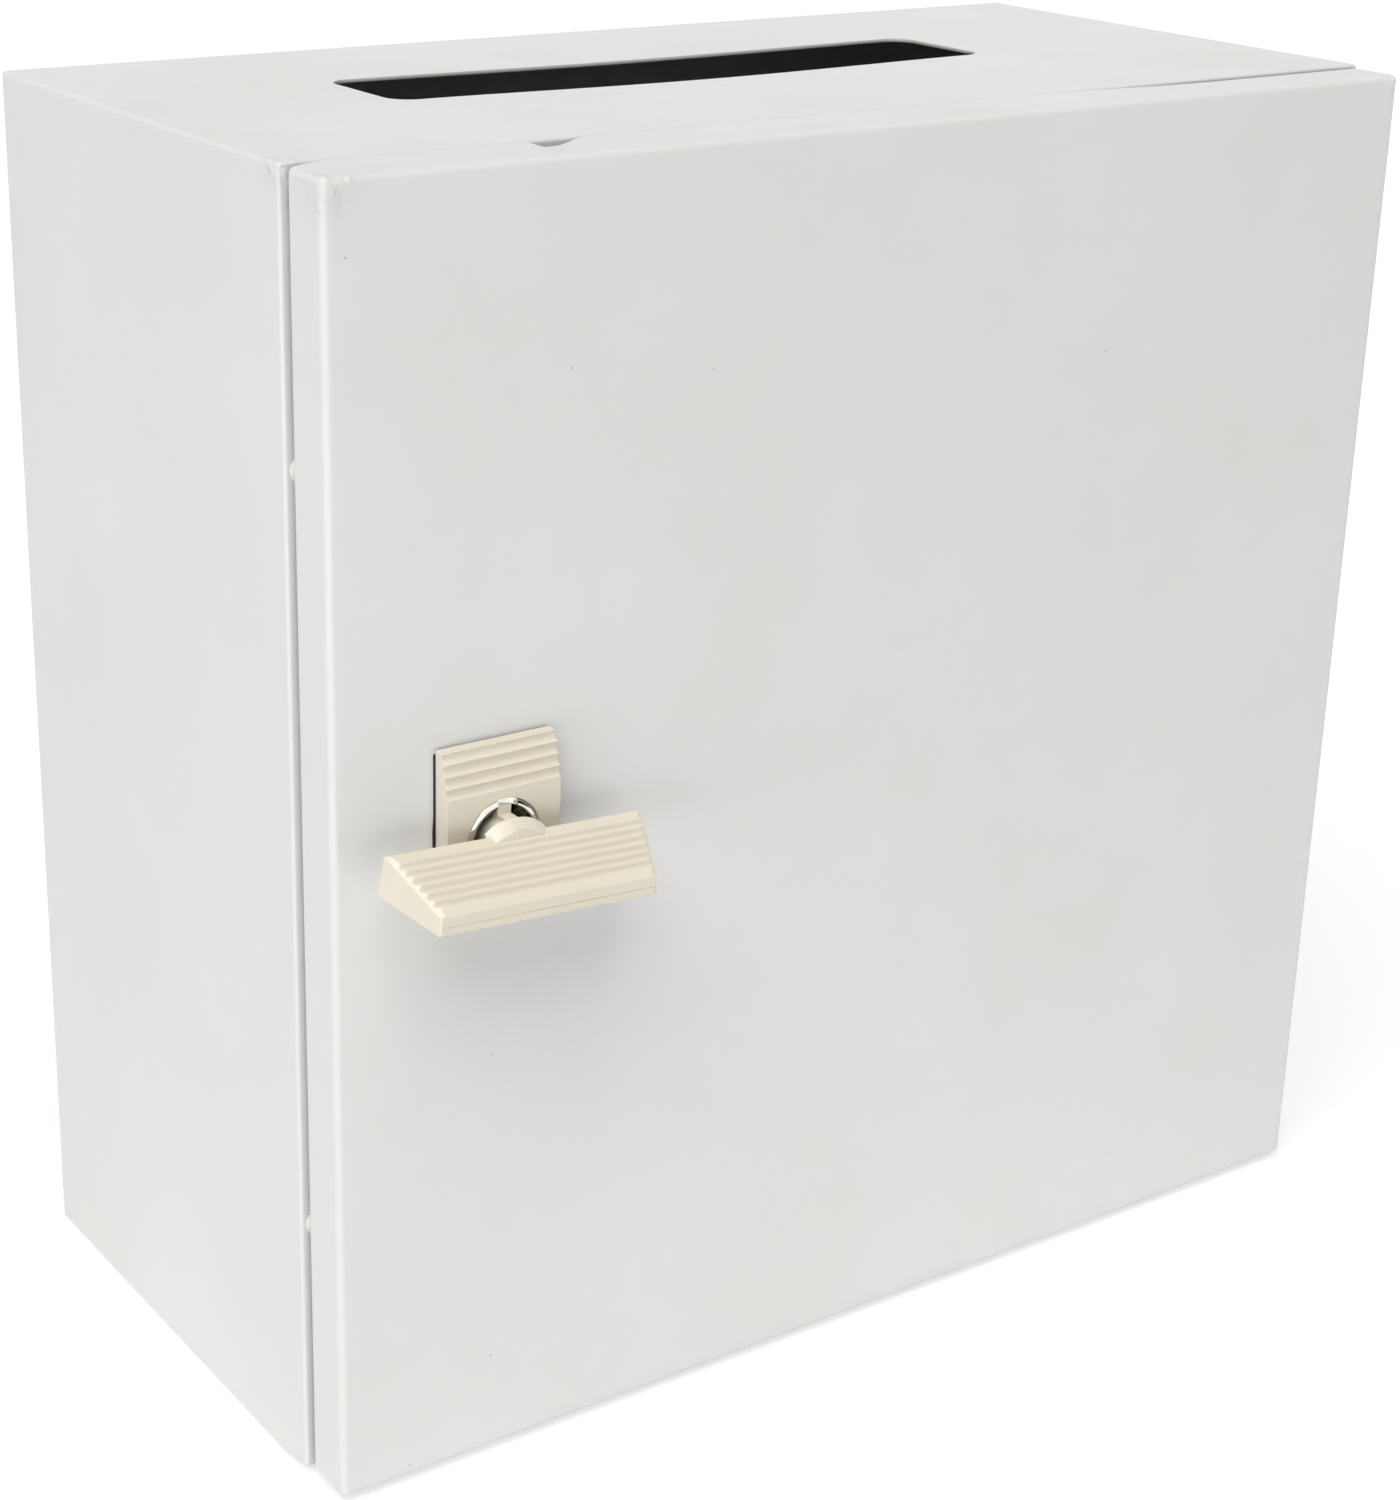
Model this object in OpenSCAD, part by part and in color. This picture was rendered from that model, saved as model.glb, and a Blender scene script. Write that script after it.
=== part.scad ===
// Wall-type sheet-steel box with a slot in its top, a hinged folded door and a T-handle lock.
// The origin is the middle of the underside. +Z is up, +X is the hinge side and the door faces -Y.
// Lengths are in millimetres.

/* [Body] */
// Width of the body
body_w = 300; // [260:1:400]
// Height of the body
body_h = 300; // [270:1:420]
// Depth of the body, without the door
body_d = 135.2; // [110:0.1:220]
// Thickness of the body's sheet steel
body_sheet = 1.0; // [0.8:0.1:1.5]
// Outer radius of the body's bends
body_bend_r = 2.0; // [1.6:0.1:3]
// Width of the flange round the mouth, up to the outside of the sealing lip
flange_w = 20; // [20:0.5:24]
// Height of the sealing lip in front of the flange
lip_h = 9; // [7:0.5:10]

/* [Top slot] */
// Length of the slot
slot_w = 168; // [60:1:200]
// Width of the slot, front to back
slot_d = 33; // [12:1:50]
// Corner radius of the slot
slot_corner_r = 5.5; // [2:0.5:5.5]
// Sideways place of the slot's middle
slot_x = -7; // [-15:1:15]
// Place of the slot's middle behind the body's middle
slot_back = 4.4; // [-10:0.1:10]

/* [Back panel] */
// Height of the back panel's folded rim
rim_h = 10; // [8:1:20]
// Sideways distance between the wall-fixing holes
wall_hole_dx = 250; // [200:1:250]
// Upright distance between the wall-fixing holes
wall_hole_dz = 250; // [200:1:250]
// Radius of a wall-fixing hole
wall_hole_r = 4.25; // [3:0.25:5]

/* [Door] */
// Thickness of the door over its folded edges
door_t = 13; // [12.5:0.1:13.5]
// Thickness of the door's sheet steel
door_sheet = 1.2; // [1:0.1:1.5]
// Outer radius of the door's bends
door_bend_r = 2.0; // [1.6:0.1:3]
// Gap between the door's folded edges and the body's flange
door_gap = 1.8; // [1.6:0.1:2.5]
// How far each side of the door stays inside the body's side
door_side_inset = 1.4; // [1:0.1:2]
// How far the door's top edge stays below the body's top
door_top_inset = 0.6; // [0.5:0.1:3]
// How far the door's bottom edge stays above the body's underside
door_bottom_inset = 1.9; // [0.5:0.1:3]
// Width of the foam gasket in the door
gasket_w = 7; // [5:0.5:8]
// Clearance between the gasket and the body's lip
gasket_clear = 0.3; // [0.2:0.1:0.5]

/* [Hinges] */
// Point half-way between the two hinges, above the body's middle
hinge_rise = 1.8; // [-8:0.1:8]
// Distance between the two hinges
hinge_spacing = 172.8; // [150:0.1:200]
// Height of a hinge bracket
hinge_h = 36; // [30:1:50]
// Hinge axis, inwards from the door's outer edge
axis_from_edge = 4.6; // [4.4:0.1:4.8]
// Hinge axis, behind the door's front face
axis_from_front = 5.1; // [5.1:0.1:5.4]
// Radius of the hinge pin
pin_r = 1.5; // [1.2:0.1:1.6]
// Running clearance of the hinge pin, on the radius
pin_fit = 0.05; // [0.03:0.01:0.08]
// Wall of the eyes round the pin
eye_wall = 1.45; // [1.2:0.05:1.5]
// Thickness of the bracket's base and ears
bracket_t = 2.5; // [2:0.1:2.6]
// Clearance between the swinging door edge and the bracket
swing_clear = 0.5; // [0.4:0.1:0.6]
// Thickness of the leaf welded in the door
leaf_t = 1.5; // [1.2:0.1:1.6]
// Hinge screw hole, inwards from the body's side
hole_from_side = 4.7; // [4.6:0.1:5]
// Radius of a hinge screw
screw_r = 2.0; // [1.5:0.1:2]
// Width across the flats of the square nut on a hinge screw
square_nut_w = 6.4; // [6:0.1:6.8]

/* [Hole plugs] */
// Radius of a plug's domed head
plug_head_r = 3.8; // [3:0.1:4]
// Height of a plug's domed head
plug_head_h = 1.3; // [0.8:0.1:1.3]

/* [Lock] */
// Lock axis, inwards from the body's latch side
lock_from_side = 39.8; // [38:0.1:50]
// Lock axis, above the body's middle
lock_rise = 7.1; // [-20:0.1:20]
// Width of the escutcheon
escutcheon_w = 28; // [24:0.5:34]
// Escutcheon above the lock axis
escutcheon_up = 21.2; // [18:0.1:26]
// Escutcheon below the lock axis
escutcheon_down = 18; // [14:0.5:20]
// Thickness of the escutcheon's flat part
escutcheon_t = 4.5; // [3.5:0.1:5]
// Thickness of the escutcheon at its top edge
escutcheon_top_t = 2.2; // [1.5:0.1:3]
// Thickness of the seal behind the escutcheon
lock_seal_t = 0.5; // [0.4:0.1:1]
// Number of ribs on the escutcheon
escutcheon_ribs = 4; // [2:1:5]
// Distance between the escutcheon's ribs
rib_pitch = 2.54; // [2:0.02:2.8]
// Radius of the grooves between ribs
groove_r = 0.45; // [0.3:0.05:0.6]
// Outer radius of the lock barrel
barrel_r = 9; // [8:0.5:10]
// How far the barrel's rim stands in front of the escutcheon's flat part
barrel_proud = 0.6; // [0.3:0.1:1]
// Length of the barrel behind the door's sheet
barrel_tail = 14; // [12:0.5:16]
// Thickness of the barrel's rim
barrel_rim = 1.0; // [0.8:0.1:1.2]
// Running clearance between the insert and the barrel, on the radius
insert_fit = 0.05; // [0.03:0.01:0.08]
// Radius of the insert's shaft
insert_r = 6; // [5.5:0.1:6.5]
// Side of the insert's square tail
square_w = 7; // [6:0.5:8]
// Thickness of the lock nut
lock_nut_t = 5; // [4:0.5:6]
// Width across the flats of the lock nut
lock_nut_w = 24; // [22:0.5:26]

/* [Handle] */
// Length of the handle at its back
handle_w = 63.8; // [56:0.2:70]
// How much each end draws in for each millimetre forwards
end_draft = 0.35; // [0.2:0.01:0.4]
// Lean of the handle from level in its open place
handle_lean = 3.1; // [0:0.1:4]
// Handle's upper back edge in front of the door's face
handle_back = 9.5; // [8.5:0.1:11]
// Handle's front face in front of the door's face
handle_front = 24.7; // [22:0.1:28]
// Fall of the ribbed face from its back edge to its front edge
handle_drop = 9.2; // [7:0.1:11]
// Number of ribs on the handle
handle_ribs = 7; // [5:1:8]
// Height of the front face
front_face_h = 4.5; // [3.5:0.1:6]
// Height of the handle at its back
handle_rear_h = 9.6; // [8:0.1:11]
// Radius of the round boss
boss_r = 7.4; // [6.5:0.1:7.5]
// Length of the round boss
boss_l = 4; // [3:0.1:5]
// Radius of the shank inside the insert
shank_r = 4.6; // [4:0.1:5]
// Thickness of the blade that drives the insert
blade_t = 3.3; // [3:0.1:3.6]
// Half of the blade's width
blade_r = 7.6; // [6.5:0.1:7.6]

/* [Cam] */
// Reach of the cam from the lock axis
cam_reach = 27; // [25:0.5:30]
// Width of the cam
cam_w = 16; // [14:0.5:18]
// Thickness of the cam
cam_t = 2.5; // [2:0.1:3]
// Gap between the cam and the back of the flange
cam_gap = 0.7; // [0.5:0.1:1]

/* [Mounting plate] */
// Width of the mounting plate
plate_w = 250; // [200:1:252]
// Height of the mounting plate
plate_h = 250; // [200:1:252]
// Thickness of the mounting plate
plate_t = 2; // [1.5:0.5:3]
// Corner radius of the mounting plate
plate_corner_r = 6; // [3:1:12]
// Sideways distance between the studs
stud_dx = 220; // [160:1:220]
// Upright distance between the studs
stud_dz = 220; // [160:1:220]
// Radius of the M6 studs
stud_r = 3; // [2.5:0.5:4]
// Length of a spacer between back panel and mounting plate
spacer_l = 12; // [8:1:20]
// Radius of a spacer
spacer_r = 7; // [6:0.5:8]

/* [Nuts and washers] */
// Width across the flats of an M6 nut
nut_w = 10; // [9:0.5:13]
// Thickness of an M6 nut
nut_t = 5; // [4:0.5:6]
// Radius of an M6 washer
washer_r = 6.2; // [6:0.1:8]
// Thickness of an M6 washer
washer_t = 1.4; // [1:0.1:1.8]
// Radial clearance between a thread and what is screwed on it
thread_clear = 0.05; // [0.03:0.01:0.1]
// Radial clearance between a stud and the plate or washer round it
stud_clear = 0.4; // [0.2:0.1:0.6]

/* [Earth studs] */
// Earth studs, inwards from the body's latch side
earth_from_side = 52; // [45:1:80]
// Body's earth stud, behind the flange
body_earth_back = 28; // [24:1:40]
// Door's earth stud, above the body's underside
door_earth_z = 46; // [44:1:80]
// Length of an earth stud
earth_stud_l = 14; // [12:1:20]

/* [Hidden] */
$fn = 64;
hex_fn = 6;
// How far a cut runs past the face it starts from
cut = 1;
// How far joined blocks of one piece run into each other
overlap = 1;

// Places along Y, from the door's face to the wall
front_y = -body_d / 2;
back_y = body_d / 2;
door_back_y = front_y - door_gap;
door_front_y = door_back_y - door_t;
door_skin_y = door_front_y + door_sheet;
panel_y = back_y - body_sheet;

// Inside of the body
body_inner_w = body_w - 2 * body_sheet;
body_inner_h = body_h - 2 * body_sheet;
body_inner_r = body_bend_r - body_sheet;

// Door outline
door_w = body_w - 2 * door_side_inset;
door_h = body_h - door_top_inset - door_bottom_inset;
door_mid_z = door_bottom_inset + door_h / 2;

// Mouth of the body
lip_w = body_w - 2 * flange_w;
lip_height_z = body_h - 2 * flange_w;
gasket_t = door_gap + door_t - door_sheet - lip_h - gasket_clear;

// Hinges
hinge_x = body_w / 2 - door_side_inset - axis_from_edge;
hinge_y = door_front_y + axis_from_front;
hinge_mid_z = body_h / 2 + hinge_rise;
hinge_low_z = hinge_mid_z - hinge_spacing / 2;
hinge_high_z = hinge_mid_z + hinge_spacing / 2;
hinge_hole_x = body_w / 2 - hole_from_side;
hinge_hole_clear = 0.25;
hinge_hole_r = screw_r + hinge_hole_clear;
eye_r = pin_r + pin_fit + eye_wall;
swing_r = front_y - bracket_t - hinge_y;
ear_t = 3;
ear_x = hinge_x - swing_r - bracket_t;
ear_front_y = hinge_y - eye_r;
ear_arm_t = eye_r - 0.4;
bracket_side_gap = 0.7;
notch_clear = 1;
notch_y = hinge_y + sqrt(pow(swing_r - swing_clear, 2) - pow(axis_from_edge, 2));
leaf_gap = 0.3;
leaf_h = hinge_h - 2 * ear_t - 2 * leaf_gap;
pin_head_h = 1.2;
pin_head_r = pin_r + 1.1;
pin_tip = 2;
clip_t = 0.6;
clip_play = 0.05;
clip_groove_r = pin_r - 0.4;
clip_r = pin_r + 1.2;
csk_h = 1.9;
csk_r = screw_r + 1.6;
csk_play = 0.05;
hinge_nut_t = 3.2;
screw_end = 1;
hinge_socket_r = 1.3;
hinge_socket_h = 1.1;

// Lock
lock_x = -body_w / 2 + lock_from_side;
lock_z = body_h / 2 + lock_rise;
plate_back_y = door_front_y - lock_seal_t;
plate_front_y = plate_back_y - escutcheon_t;
barrel_front_y = plate_front_y - barrel_proud;
barrel_back_y = door_skin_y + barrel_tail;
cam_y = front_y + body_sheet + cam_gap;
insert_sunk = 0.8;
insert_face_y = barrel_front_y + insert_sunk;
insert_flange_r = barrel_r - barrel_rim - insert_fit;
insert_flange_t = 5;
insert_seat_y = insert_face_y + insert_flange_t + insert_fit;
insert_cup_depth = 4;
insert_cup_y = insert_face_y + insert_cup_depth;
insert_mouth_r = insert_flange_r - 0.6;
insert_chamfer_h = 1.6;
blade_play = 0.5;
shank_clear = 0.3;
blade_proud = 0.2;
blade_end_gap = 0.3;
shank_end_gap = 0.4;
handle_back_y = door_front_y - handle_back;
handle_front_y = door_front_y - handle_front;
boss_front_y = handle_back_y - boss_l;
handle_top_z = 3.2;
handle_rear_step = 1.3;
lock_hole_clear = 0.2;
cam_screw_r = 2.5;
cam_screw_l = 8;
cam_screw_head_r = 4.3;
cam_screw_head_h = 3.2;
cam_socket_r = 2.3;
cam_socket_h = 2;
cam_corner_r = 3;
cam_washer_r = 6;
cam_washer_t = 1;

// Nuts and washers
stud_tip = 2;
lock_washer_rim = 1;

// ---------- helpers ----------

// Extrudes an outline drawn in X and Z between two places along Y
module along_y(y0, y1) {
    translate([0, y1, 0])
        rotate([90, 0, 0])
            linear_extrude(y1 - y0)
                children();
}

module round_rect(w, h, r) {
    square([w - 2 * r, h], center = true);
    square([w, h - 2 * r], center = true);
    for (x = [-1, 1], y = [-1, 1])
        translate([x * (w / 2 - r), y * (h / 2 - r)])
            circle(r);
}

// Everything outside a rounded corner at the origin, for cutting the corner off a block
module corner_waste(r) {
    difference() {
        translate([-cut, -cut])
            square(r + cut);
        translate([r, r])
            circle(r);
    }
}

// What a folded box's bends take off the four front edges of a block that spans w by h about mid_z
module front_edge_waste(w, h, mid_z, y, r) {
    for (side = [0, 1])
        mirror([side, 0, 0])
            translate([-w / 2, y, mid_z - h / 2 - cut])
                linear_extrude(h + 2 * cut)
                    corner_waste(r);
    for (side = [0, 1])
        translate([0, 0, mid_z])
            mirror([0, 0, side])
                translate([-w / 2 - cut, y, -h / 2])
                    rotate([90, 0, 90])
                        linear_extrude(w + 2 * cut)
                            corner_waste(r);
}

// Outside of a folded box: round corners seen from the front, and round front edges
module folded_block(w, h, mid_z, y0, y1, r) {
    difference() {
        along_y(y0, y1)
            translate([0, mid_z])
                round_rect(w, h, r);
        front_edge_waste(w, h, mid_z, y0, r);
    }
}

module at_hinge(upper) {
    translate([hinge_x, hinge_y, upper ? hinge_high_z : hinge_low_z])
        children();
}

module at_lock() {
    translate([lock_x, 0, lock_z])
        children();
}

// The parts that turn in the lock, leaning as the handle leans
module turned() {
    at_lock()
        rotate([0, handle_lean, 0])
            children();
}

module rod_y(r, y0, y1) {
    along_y(y0, y1)
        circle(r);
}

module hex_nut(w, t, hole_r) {
    linear_extrude(t)
        difference() {
            circle(w / sqrt(3), $fn = hex_fn);
            circle(hole_r);
        }
}

module washer(r, t, hole_r) {
    linear_extrude(t)
        difference() {
            circle(r);
            circle(hole_r);
        }
}

module at_plate_studs(y) {
    for (x = [-1, 1], z = [-1, 1])
        translate([x * stud_dx / 2, y, body_h / 2 + z * stud_dz / 2])
            rotate([90, 0, 0])
                children();
}

module at_body_earth(z) {
    translate([-body_w / 2 + earth_from_side, front_y + body_earth_back, z])
        children();
}

module at_door_earth(y) {
    translate([-body_w / 2 + earth_from_side, y, door_earth_z])
        rotate([-90, 0, 0])
            children();
}

// ---------- body ----------

module body_shell() {
    mid_z = body_h / 2;
    color([0.89, 0.89, 0.88])
    difference() {
        union() {
            difference() {
                folded_block(body_w, body_h, mid_z, front_y, back_y, body_bend_r);
                folded_block(body_inner_w, body_inner_h, mid_z, front_y + body_sheet, back_y + cut,
                    body_inner_r);
            }
            along_y(front_y - lip_h, front_y + body_sheet)
                translate([0, mid_z])
                    round_rect(lip_w, lip_height_z, body_bend_r);
        }
        along_y(front_y - lip_h - cut, front_y + body_sheet + cut)
            translate([0, mid_z])
                round_rect(lip_w - 2 * body_sheet, lip_height_z - 2 * body_sheet, body_inner_r);
        translate([slot_x, slot_back, body_h - body_sheet - cut])
            linear_extrude(body_sheet + 2 * cut)
                round_rect(slot_w, slot_d, slot_corner_r);
        for (x = [-1, 1], z = [hinge_low_z, hinge_high_z])
            translate([x * hinge_hole_x, 0, z])
                rod_y(hinge_hole_r, front_y - cut, front_y + body_sheet + cut);
    }
}

// A tray welded into the back of the shell
module back_panel() {
    tray_w = body_inner_w - 2 * body_sheet;
    tray_h = body_inner_h - 2 * body_sheet;
    color([0.88, 0.88, 0.87])
    translate([0, 0, body_h / 2])
    difference() {
        along_y(panel_y - rim_h, back_y)
            round_rect(body_inner_w, body_inner_h, body_inner_r);
        along_y(panel_y - rim_h - cut, panel_y)
            square([tray_w, tray_h], center = true);
        for (x = [-1, 1], z = [-1, 1])
            translate([x * wall_hole_dx / 2, 0, z * wall_hole_dz / 2])
                rod_y(wall_hole_r, panel_y - cut, back_y + cut);
    }
}

module mounting_plate() {
    plate_front = panel_y - spacer_l - plate_t;
    color([0.74, 0.75, 0.74])
    difference() {
        along_y(plate_front, plate_front + plate_t)
            translate([0, body_h / 2])
                round_rect(plate_w, plate_h, plate_corner_r);
        at_plate_studs(plate_front + plate_t + cut)
            cylinder(h = plate_t + 2 * cut, r = stud_r + stud_clear);
    }
}

module plate_studs() {
    color([0.72, 0.73, 0.72])
    at_plate_studs(panel_y)
        cylinder(h = spacer_l + plate_t + washer_t + nut_t + stud_tip, r = stud_r);
}

module plate_spacers() {
    color([0.2, 0.2, 0.2])
    at_plate_studs(panel_y)
        washer(spacer_r, spacer_l, stud_r + thread_clear);
}

module plate_washers() {
    color([0.72, 0.73, 0.72])
    at_plate_studs(panel_y - spacer_l - plate_t)
        washer(washer_r, washer_t, stud_r + thread_clear);
}

module plate_nuts() {
    color([0.72, 0.73, 0.72])
    at_plate_studs(panel_y - spacer_l - plate_t - washer_t)
        hex_nut(nut_w, nut_t, stud_r + thread_clear);
}

module body_earth_stud() {
    color([0.72, 0.6, 0.4])
    at_body_earth(body_sheet)
        cylinder(h = earth_stud_l, r = stud_r);
}

module body_earth_washer() {
    color([0.72, 0.73, 0.72])
    at_body_earth(body_sheet)
        washer(washer_r, washer_t, stud_r + thread_clear);
}

module body_earth_nut() {
    color([0.72, 0.73, 0.72])
    at_body_earth(body_sheet + washer_t)
        hex_nut(nut_w, nut_t, stud_r + thread_clear);
}

// A domed plug in an unused hinge hole on the latch side
module hole_plug(z) {
    dome_r = (pow(plug_head_r, 2) + pow(plug_head_h, 2)) / (2 * plug_head_h);
    stem_play = 0.1;
    stem_r = hinge_hole_r - stem_play;
    stem_l = body_sheet + stem_play;
    barb_r = hinge_hole_r + 0.3;
    barb_tip_r = hinge_hole_r - 0.6;
    barb_l = 1.6;
    color([0.9, 0.9, 0.89])
    translate([-hinge_hole_x, front_y, z])
        rotate([90, 0, 0]) {
            intersection() {
                translate([0, 0, plug_head_h - dome_r])
                    sphere(dome_r);
                cylinder(h = plug_head_h + cut, r = plug_head_r + cut);
            }
            translate([0, 0, -stem_l])
                cylinder(h = stem_l + plug_head_h / 2, r = stem_r);
            translate([0, 0, -stem_l - barb_l])
                cylinder(h = barb_l, r1 = barb_tip_r, r2 = barb_r);
        }
}

module upper_hole_plug() {
    hole_plug(hinge_high_z);
}

module lower_hole_plug() {
    hole_plug(hinge_low_z);
}

// ---------- hinges ----------

// Base on the flange, with two hooked ears that reach round the swinging edge of the door to the pin
module hinge_bracket(upper) {
    hinge_z = upper ? hinge_high_z : hinge_low_z;
    base_right_x = body_w / 2 - bracket_side_gap;
    color([0.72, 0.73, 0.72])
    difference() {
        union() {
            translate([ear_x, front_y - bracket_t, hinge_z - hinge_h / 2])
                cube([base_right_x - ear_x, bracket_t, hinge_h]);
            for (ear_z = [-hinge_h / 2, hinge_h / 2 - ear_t])
                translate([0, 0, hinge_z + ear_z])
                    linear_extrude(ear_t) {
                        translate([ear_x, ear_front_y])
                            square([bracket_t, front_y - bracket_t - ear_front_y]);
                        translate([ear_x, ear_front_y])
                            square([hinge_x - ear_x, ear_arm_t]);
                        translate([hinge_x, hinge_y])
                            circle(eye_r);
                    }
        }
        at_hinge(upper)
            translate([0, 0, -hinge_h / 2 - cut])
                cylinder(h = hinge_h + 2 * cut, r = pin_r + pin_fit);
        translate([hinge_hole_x, 0, hinge_z]) {
            rod_y(hinge_hole_r, front_y - bracket_t - cut, front_y + cut);
            translate([0, front_y - bracket_t, 0])
                rotate([-90, 0, 0])
                    cylinder(h = csk_h + csk_play, r1 = csk_r + csk_play, r2 = screw_r + csk_play);
        }
    }
}

module upper_hinge_bracket() {
    hinge_bracket(true);
}

module lower_hinge_bracket() {
    hinge_bracket(false);
}

module hinge_pin(upper) {
    shank_l = hinge_h + 2 * clip_play + clip_t + pin_tip;
    color([0.75, 0.76, 0.76])
    at_hinge(upper) {
        translate([0, 0, hinge_h / 2])
            cylinder(h = pin_head_h, r = pin_head_r);
        difference() {
            translate([0, 0, hinge_h / 2 - shank_l])
                cylinder(h = shank_l + cut, r = pin_r);
            translate([0, 0, -hinge_h / 2 - 2 * clip_play - clip_t])
                washer(pin_r + cut, clip_t + 2 * clip_play, clip_groove_r);
            translate([0, 0, hinge_h / 2 + pin_head_h])
                cylinder(h = 2 * cut, r = pin_r + cut);
        }
    }
}

module upper_hinge_pin() {
    hinge_pin(true);
}

module lower_hinge_pin() {
    hinge_pin(false);
}

module hinge_pin_clips() {
    color([0.3, 0.3, 0.3])
    for (upper = [false, true])
        at_hinge(upper)
            translate([0, 0, -hinge_h / 2 - clip_play - clip_t])
                difference() {
                    washer(clip_r, clip_t, clip_groove_r + clip_play);
                    translate([-clip_r - cut, -clip_groove_r, -cut])
                        cube([clip_r + cut, 2 * clip_groove_r, clip_t + 2 * cut]);
                }
}

module hinge_screws() {
    screw_l = bracket_t + body_sheet + hinge_nut_t + screw_end;
    color([0.72, 0.73, 0.72])
    for (z = [hinge_low_z, hinge_high_z])
        translate([hinge_hole_x, front_y - bracket_t, z])
            rotate([-90, 0, 0])
                difference() {
                    union() {
                        cylinder(h = csk_h, r1 = csk_r, r2 = screw_r);
                        cylinder(h = screw_l, r = screw_r);
                    }
                    translate([0, 0, -cut])
                        cylinder(h = hinge_socket_h + cut, r = hinge_socket_r, $fn = hex_fn);
                }
}

// Square nuts, bevelled where the body's bend runs past them
module hinge_nuts() {
    half_w = square_nut_w / 2;
    color([0.72, 0.73, 0.72])
    for (z = [hinge_low_z, hinge_high_z])
        translate([hinge_hole_x, front_y + body_sheet, z])
            difference() {
                translate([0, 0, -half_w])
                    linear_extrude(square_nut_w)
                        polygon([
                            [-half_w, 0],
                            [half_w - body_inner_r, 0],
                            [half_w, body_inner_r],
                            [half_w, hinge_nut_t],
                            [-half_w, hinge_nut_t],
                        ]);
                rod_y(screw_r + thread_clear, -cut, hinge_nut_t + cut);
            }
}

// Leaf welded to the inside of the door, with the barrel that turns on the pin
module hinge_leaf(upper) {
    leaf_left_x = lip_w / 2 - body_sheet / 2 + gasket_w / 2 + leaf_gap;
    color([0.72, 0.73, 0.72])
    at_hinge(upper)
        translate([0, 0, -leaf_h / 2])
            difference() {
                union() {
                    linear_extrude(leaf_h)
                        circle(eye_r);
                    translate([leaf_left_x - hinge_x, door_skin_y - hinge_y, 0])
                        cube([hinge_x - leaf_left_x + pin_r, leaf_t, leaf_h]);
                    translate([-pin_r, door_skin_y - hinge_y, 0])
                        cube([2 * pin_r, hinge_y - door_skin_y, leaf_h]);
                }
                translate([0, 0, -cut])
                    cylinder(h = leaf_h + 2 * cut, r = pin_r + pin_fit);
            }
}

module upper_hinge_leaf() {
    hinge_leaf(true);
}

module lower_hinge_leaf() {
    hinge_leaf(false);
}

// ---------- door ----------

// A folded tray. The hinge side's edge is cut back where it swings past the hinge brackets.
module door_panel() {
    color([0.87, 0.87, 0.86])
    difference() {
        folded_block(door_w, door_h, door_mid_z, door_front_y, door_back_y, door_bend_r);
        folded_block(door_w - 2 * door_sheet, door_h - 2 * door_sheet, door_mid_z, door_skin_y,
            door_back_y + cut, door_bend_r - door_sheet);
        for (z = [hinge_low_z, hinge_high_z])
            translate([door_w / 2 - door_sheet - cut, notch_y, z - hinge_h / 2 - notch_clear])
                cube([door_sheet + 2 * cut, door_back_y - notch_y + cut, hinge_h + 2 * notch_clear]);
        at_lock()
            rod_y(barrel_r + lock_hole_clear, door_front_y - cut, door_skin_y + cut);
    }
}

// Foamed seal that the body's lip presses into
module door_gasket() {
    mid_w = lip_w - body_sheet;
    mid_h = lip_height_z - body_sheet;
    color([0.15, 0.15, 0.15])
    along_y(door_skin_y, door_skin_y + gasket_t)
        translate([0, body_h / 2])
            difference() {
                round_rect(mid_w + gasket_w, mid_h + gasket_w, gasket_w / 2);
                square([mid_w - gasket_w, mid_h - gasket_w], center = true);
            }
}

module door_earth_stud() {
    color([0.72, 0.6, 0.4])
    at_door_earth(door_skin_y)
        cylinder(h = earth_stud_l, r = stud_r);
}

module door_earth_washer() {
    color([0.72, 0.73, 0.72])
    at_door_earth(door_skin_y)
        washer(washer_r, washer_t, stud_r + thread_clear);
}

module door_earth_nut() {
    color([0.72, 0.73, 0.72])
    at_door_earth(door_skin_y + washer_t)
        hex_nut(nut_w, nut_t, stud_r + thread_clear);
}

// ---------- lock ----------

module lock_seal() {
    seal_proud = 0.3;
    seal_inset = 1;
    color([0.08, 0.08, 0.08])
    at_lock()
        along_y(plate_back_y, door_front_y)
            difference() {
                translate([-escutcheon_w / 2 - seal_proud, -escutcheon_down + seal_inset])
                    square([escutcheon_w + seal_proud, escutcheon_up + escutcheon_down - 2 * seal_inset]);
                circle(barrel_r + thread_clear);
            }
}

// Side view of the escutcheon: a flat lower part, and a ribbed slope that thins towards the top edge
module escutcheon_outline() {
    ribbed_h = escutcheon_ribs * rib_pitch;
    slope_end = escutcheon_up - ribbed_h;
    slope = (escutcheon_t - escutcheon_top_t) / ribbed_h;
    foot_chamfer = 1.5;
    difference() {
        polygon([
            [0, -escutcheon_down],
            [escutcheon_t - foot_chamfer, -escutcheon_down],
            [escutcheon_t, -escutcheon_down + foot_chamfer],
            [escutcheon_t, slope_end],
            [escutcheon_top_t, escutcheon_up],
            [0, escutcheon_up],
        ]);
        for (rib = [0 : escutcheon_ribs - 1])
            translate([escutcheon_t - slope * rib * rib_pitch, slope_end + rib * rib_pitch])
                circle(groove_r);
    }
}

module lock_escutcheon() {
    color([0.90, 0.88, 0.79])
    at_lock()
        difference() {
            translate([-escutcheon_w / 2, plate_back_y, 0])
                rotate([90, 0, 90])
                    linear_extrude(escutcheon_w)
                        mirror([1, 0])
                            escutcheon_outline();
            rod_y(barrel_r + thread_clear, plate_front_y - cut, plate_back_y + cut);
        }
}

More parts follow.
